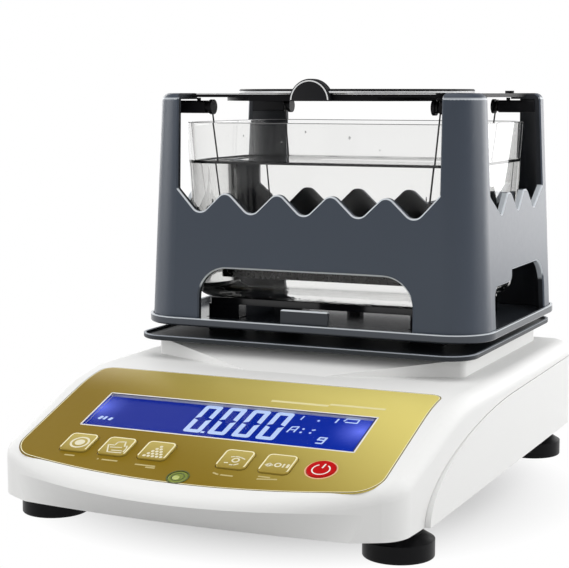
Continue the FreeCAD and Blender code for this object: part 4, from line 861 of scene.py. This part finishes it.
# A dark line along the water's edge, taller at the front than at the rear: painted shade of the
# meniscus.
painted_meniscus_shade = coated("painted_meniscus_shade", (0.020, 0.021, 0.024), 0.3)
EDGE_FRONT, EDGE_REAR = 0.00085, 0.00012     # height of the dark line of the meniscus
edge_line = bmesh.new()
loops = [add_water_ring(edge_line, WATER_LEVEL - 0.0001 + height, BITE)
         for height in (0.0, 0.0002)]
bmesh.ops.bridge_loops(edge_line, edges=loops[0] + loops[1])
for v in edge_line.verts:
    if v.co.z > WATER_LEVEL:
        near = (CARRIER_Y + TANK_HALF.y - v.co.y) / (2 * TANK_HALF.y)
        v.co.z += EDGE_REAR + (EDGE_FRONT - EDGE_REAR) * near
bmesh.ops.solidify(edge_line, geom=list(edge_line.faces), thickness=0.00012)
piece("meniscus_shade_line", edge_line, painted_meniscus_shade, "tank")

rim_grey = coated("rim_grey", (0.30, 0.30, 0.31), 0.3)
RIM_LINE = 0.00035
rim_line = bmesh.new()
loops = [add_water_ring(rim_line, TANK_RIM - height, BITE) for height in (RIM_LINE, 0.00002)]
bmesh.ops.bridge_loops(rim_line, edges=loops[0] + loops[1])
bmesh.ops.solidify(rim_line, geom=list(rim_line.faces), thickness=0.00012)
piece("tank_rim_line", rim_line, rim_grey, "tank")

drops = bmesh.new()
for x, z, radius in ((-5.3, 169.8, 0.45), (17.6, 167.2, 0.6), (-38.6, 167.6, 0.35),
                     (-18.0, 164.8, 0.3), (33.0, 161.5, 0.3)):
    wall = CARRIER_Y - tank_inside(z * MM)[1]
    dot = bmesh.ops.create_uvsphere(drops, u_segments=10, v_segments=6,
                                    radius=radius * MM)["verts"]
    bmesh.ops.scale(drops, vec=(1, 0.5, 1.2), verts=dot)
    bmesh.ops.translate(drops, vec=(x * MM, wall, z * MM), verts=dot)
piece("wall_drops", drops, water_clear, "tank")

# ---------------------------------------------------------------- basket and wires
# A pressed stainless pan with drain holes hangs in the water. It is held by four thin
# blackened wires, hooked over the arms in the corners of the cage.

# The pan's colour is darkened far below that of bare stainless steel, as painted shade.
basket_steel = coated("basket_steel", (0.035, 0.034, 0.034), 0.25, metallic=1.0, grain=1800.0)
finish_nodes(basket_steel, "basket")
wire_dark = coated("wire_dark", (0.02, 0.02, 0.02), 0.35, metallic=0.6)
finish_nodes(wire_dark, "basket_wires")

# ---------------------------------------------------------------- floor, light and camera
# A pale studio floor that fades into a white surround, an even white room, and soft boxes
# overhead, behind both sides, at the right and low at the left. Then the camera.

floor_white, tree, shader = new_finish("floor_white")
tree.nodes.remove(shader)
matt = tree.nodes.new("ShaderNodeBsdfDiffuse")
matt.inputs["Color"].default_value = (0.50, 0.50, 0.50, 1.0)
surround = tree.nodes.new("ShaderNodeEmission")
surround.inputs["Color"].default_value = (1.0, 1.0, 1.0, 1.0)
reach = tree.nodes.new("ShaderNodeVectorMath")
reach.operation = "LENGTH"
tree.links.new(tree.nodes.new("ShaderNodeTexCoord").outputs["Object"], reach.inputs[0])
FADE_FROM, FADE_TO = 0.03, 0.135        # the floor fades to white between these distances
fade = remapped(tree, reach.outputs["Value"], 0.0, 1.0, FADE_FROM, FADE_TO)
sight = tree.nodes.new("ShaderNodeLightPath")
seen = combined(tree, "MAXIMUM", combined(tree, "MAXIMUM", sight.outputs["Is Camera Ray"],
                                          sight.outputs["Is Glossy Ray"]),
                sight.outputs["Is Transmission Ray"])
mix = tree.nodes.new("ShaderNodeMixShader")
tree.links.new(combined(tree, "MULTIPLY", seen, fade), mix.inputs["Fac"])
tree.links.new(matt.outputs["BSDF"], mix.inputs[1])
tree.links.new(surround.outputs["Emission"], mix.inputs[2])
tree.links.new(mix.outputs["Shader"], tree.nodes["Material Output"].inputs["Surface"])

ground = bmesh.new()
bmesh.ops.create_circle(ground, cap_ends=True, segments=64, radius=6.0)
floor_mesh = bpy.data.meshes.new("studio_floor")
ground.to_mesh(floor_mesh)
ground.free()
floor_mesh.materials.append(floor_white)
floor = bpy.data.objects.new("studio_floor", floor_mesh)
bpy.context.collection.objects.link(floor)

AMBIENT = 0.74
GLOSSY_FRONT = 0.30     # the dim side of the studio that the front faces mirror
GLOSSY_ABOVE = 0.25     # its dark ceiling
world = bpy.data.worlds.new("studio")
bpy.context.scene.world = world
world.use_nodes = True
tree = world.node_tree
background = tree.nodes["Background"]
background.inputs["Color"].default_value = (1.0, 1.0, 1.0, 1.0)
towards = tree.nodes.new("ShaderNodeSeparateXYZ")
tree.links.new(tree.nodes.new("ShaderNodeTexCoord").outputs["Generated"], towards.inputs["Vector"])
behind = remapped(tree, towards.outputs["Y"], GLOSSY_FRONT, 1.0, -0.15, 0.25)
low_down = remapped(tree, towards.outputs["Z"], 1.0, GLOSSY_ABOVE, 0.18, 0.55)
mirrored = combined(tree, "MINIMUM", behind, low_down)
sight = tree.nodes.new("ShaderNodeLightPath")
strength = remapped(tree, sight.outputs["Is Glossy Ray"], AMBIENT, mirrored, 0.0, 1.0)
direct = combined(tree, "MAXIMUM", sight.outputs["Is Camera Ray"],
                  sight.outputs["Is Transmission Ray"])
tree.links.new(remapped(tree, direct, strength, 1.0, 0.0, 1.0), background.inputs["Strength"])

AIM = Vector((0.0, 0.0, 0.08))
for name, at, wide, deep, power in (
        ("overhead", (0.0, -0.15, 1.5), 1.9, 1.7, 8.8),
        ("right_back", (0.60, 1.05, 0.26), 0.9, 0.6, 4.3),
        ("right", (1.3, 0.4, 0.50), 0.9, 0.7, 4.6),
        ("left_back", (-1.0, 0.8, 0.4), 0.7, 0.6, 3.0),
        ("front_left", (-1.8, -0.55, 0.5), 1.2, 0.8, 9.5)):
    light = bpy.data.lights.new(name, "AREA")
    light.shape = "RECTANGLE"
    light.size = wide
    light.size_y = deep
    light.energy = power
    rig = bpy.data.objects.new(name, light)
    rig.location = at
    rig.rotation_euler = (AIM - Vector(at)).to_track_quat("-Z", "Y").to_euler()
    rig.visible_camera = False
    rig.visible_transmission = False
    bpy.context.collection.objects.link(rig)

SENSOR = 36.0
FOCAL_PIXELS = 1534.25
IMAGE_WIDE = 569
camera = bpy.data.cameras.new("camera")
camera.sensor_width = SENSOR
camera.lens = FOCAL_PIXELS * SENSOR / IMAGE_WIDE
camera.clip_start = 0.01
eye = bpy.data.objects.new("camera", camera)
eye.location = (0.29531, -0.66499, 0.18836)
eye.rotation_euler = (math.radians(90 - 7.09), 0.0, math.radians(24.61))
bpy.context.collection.objects.link(eye)
bpy.context.scene.camera = eye
bpy.context.scene.view_settings.view_transform = "Standard"
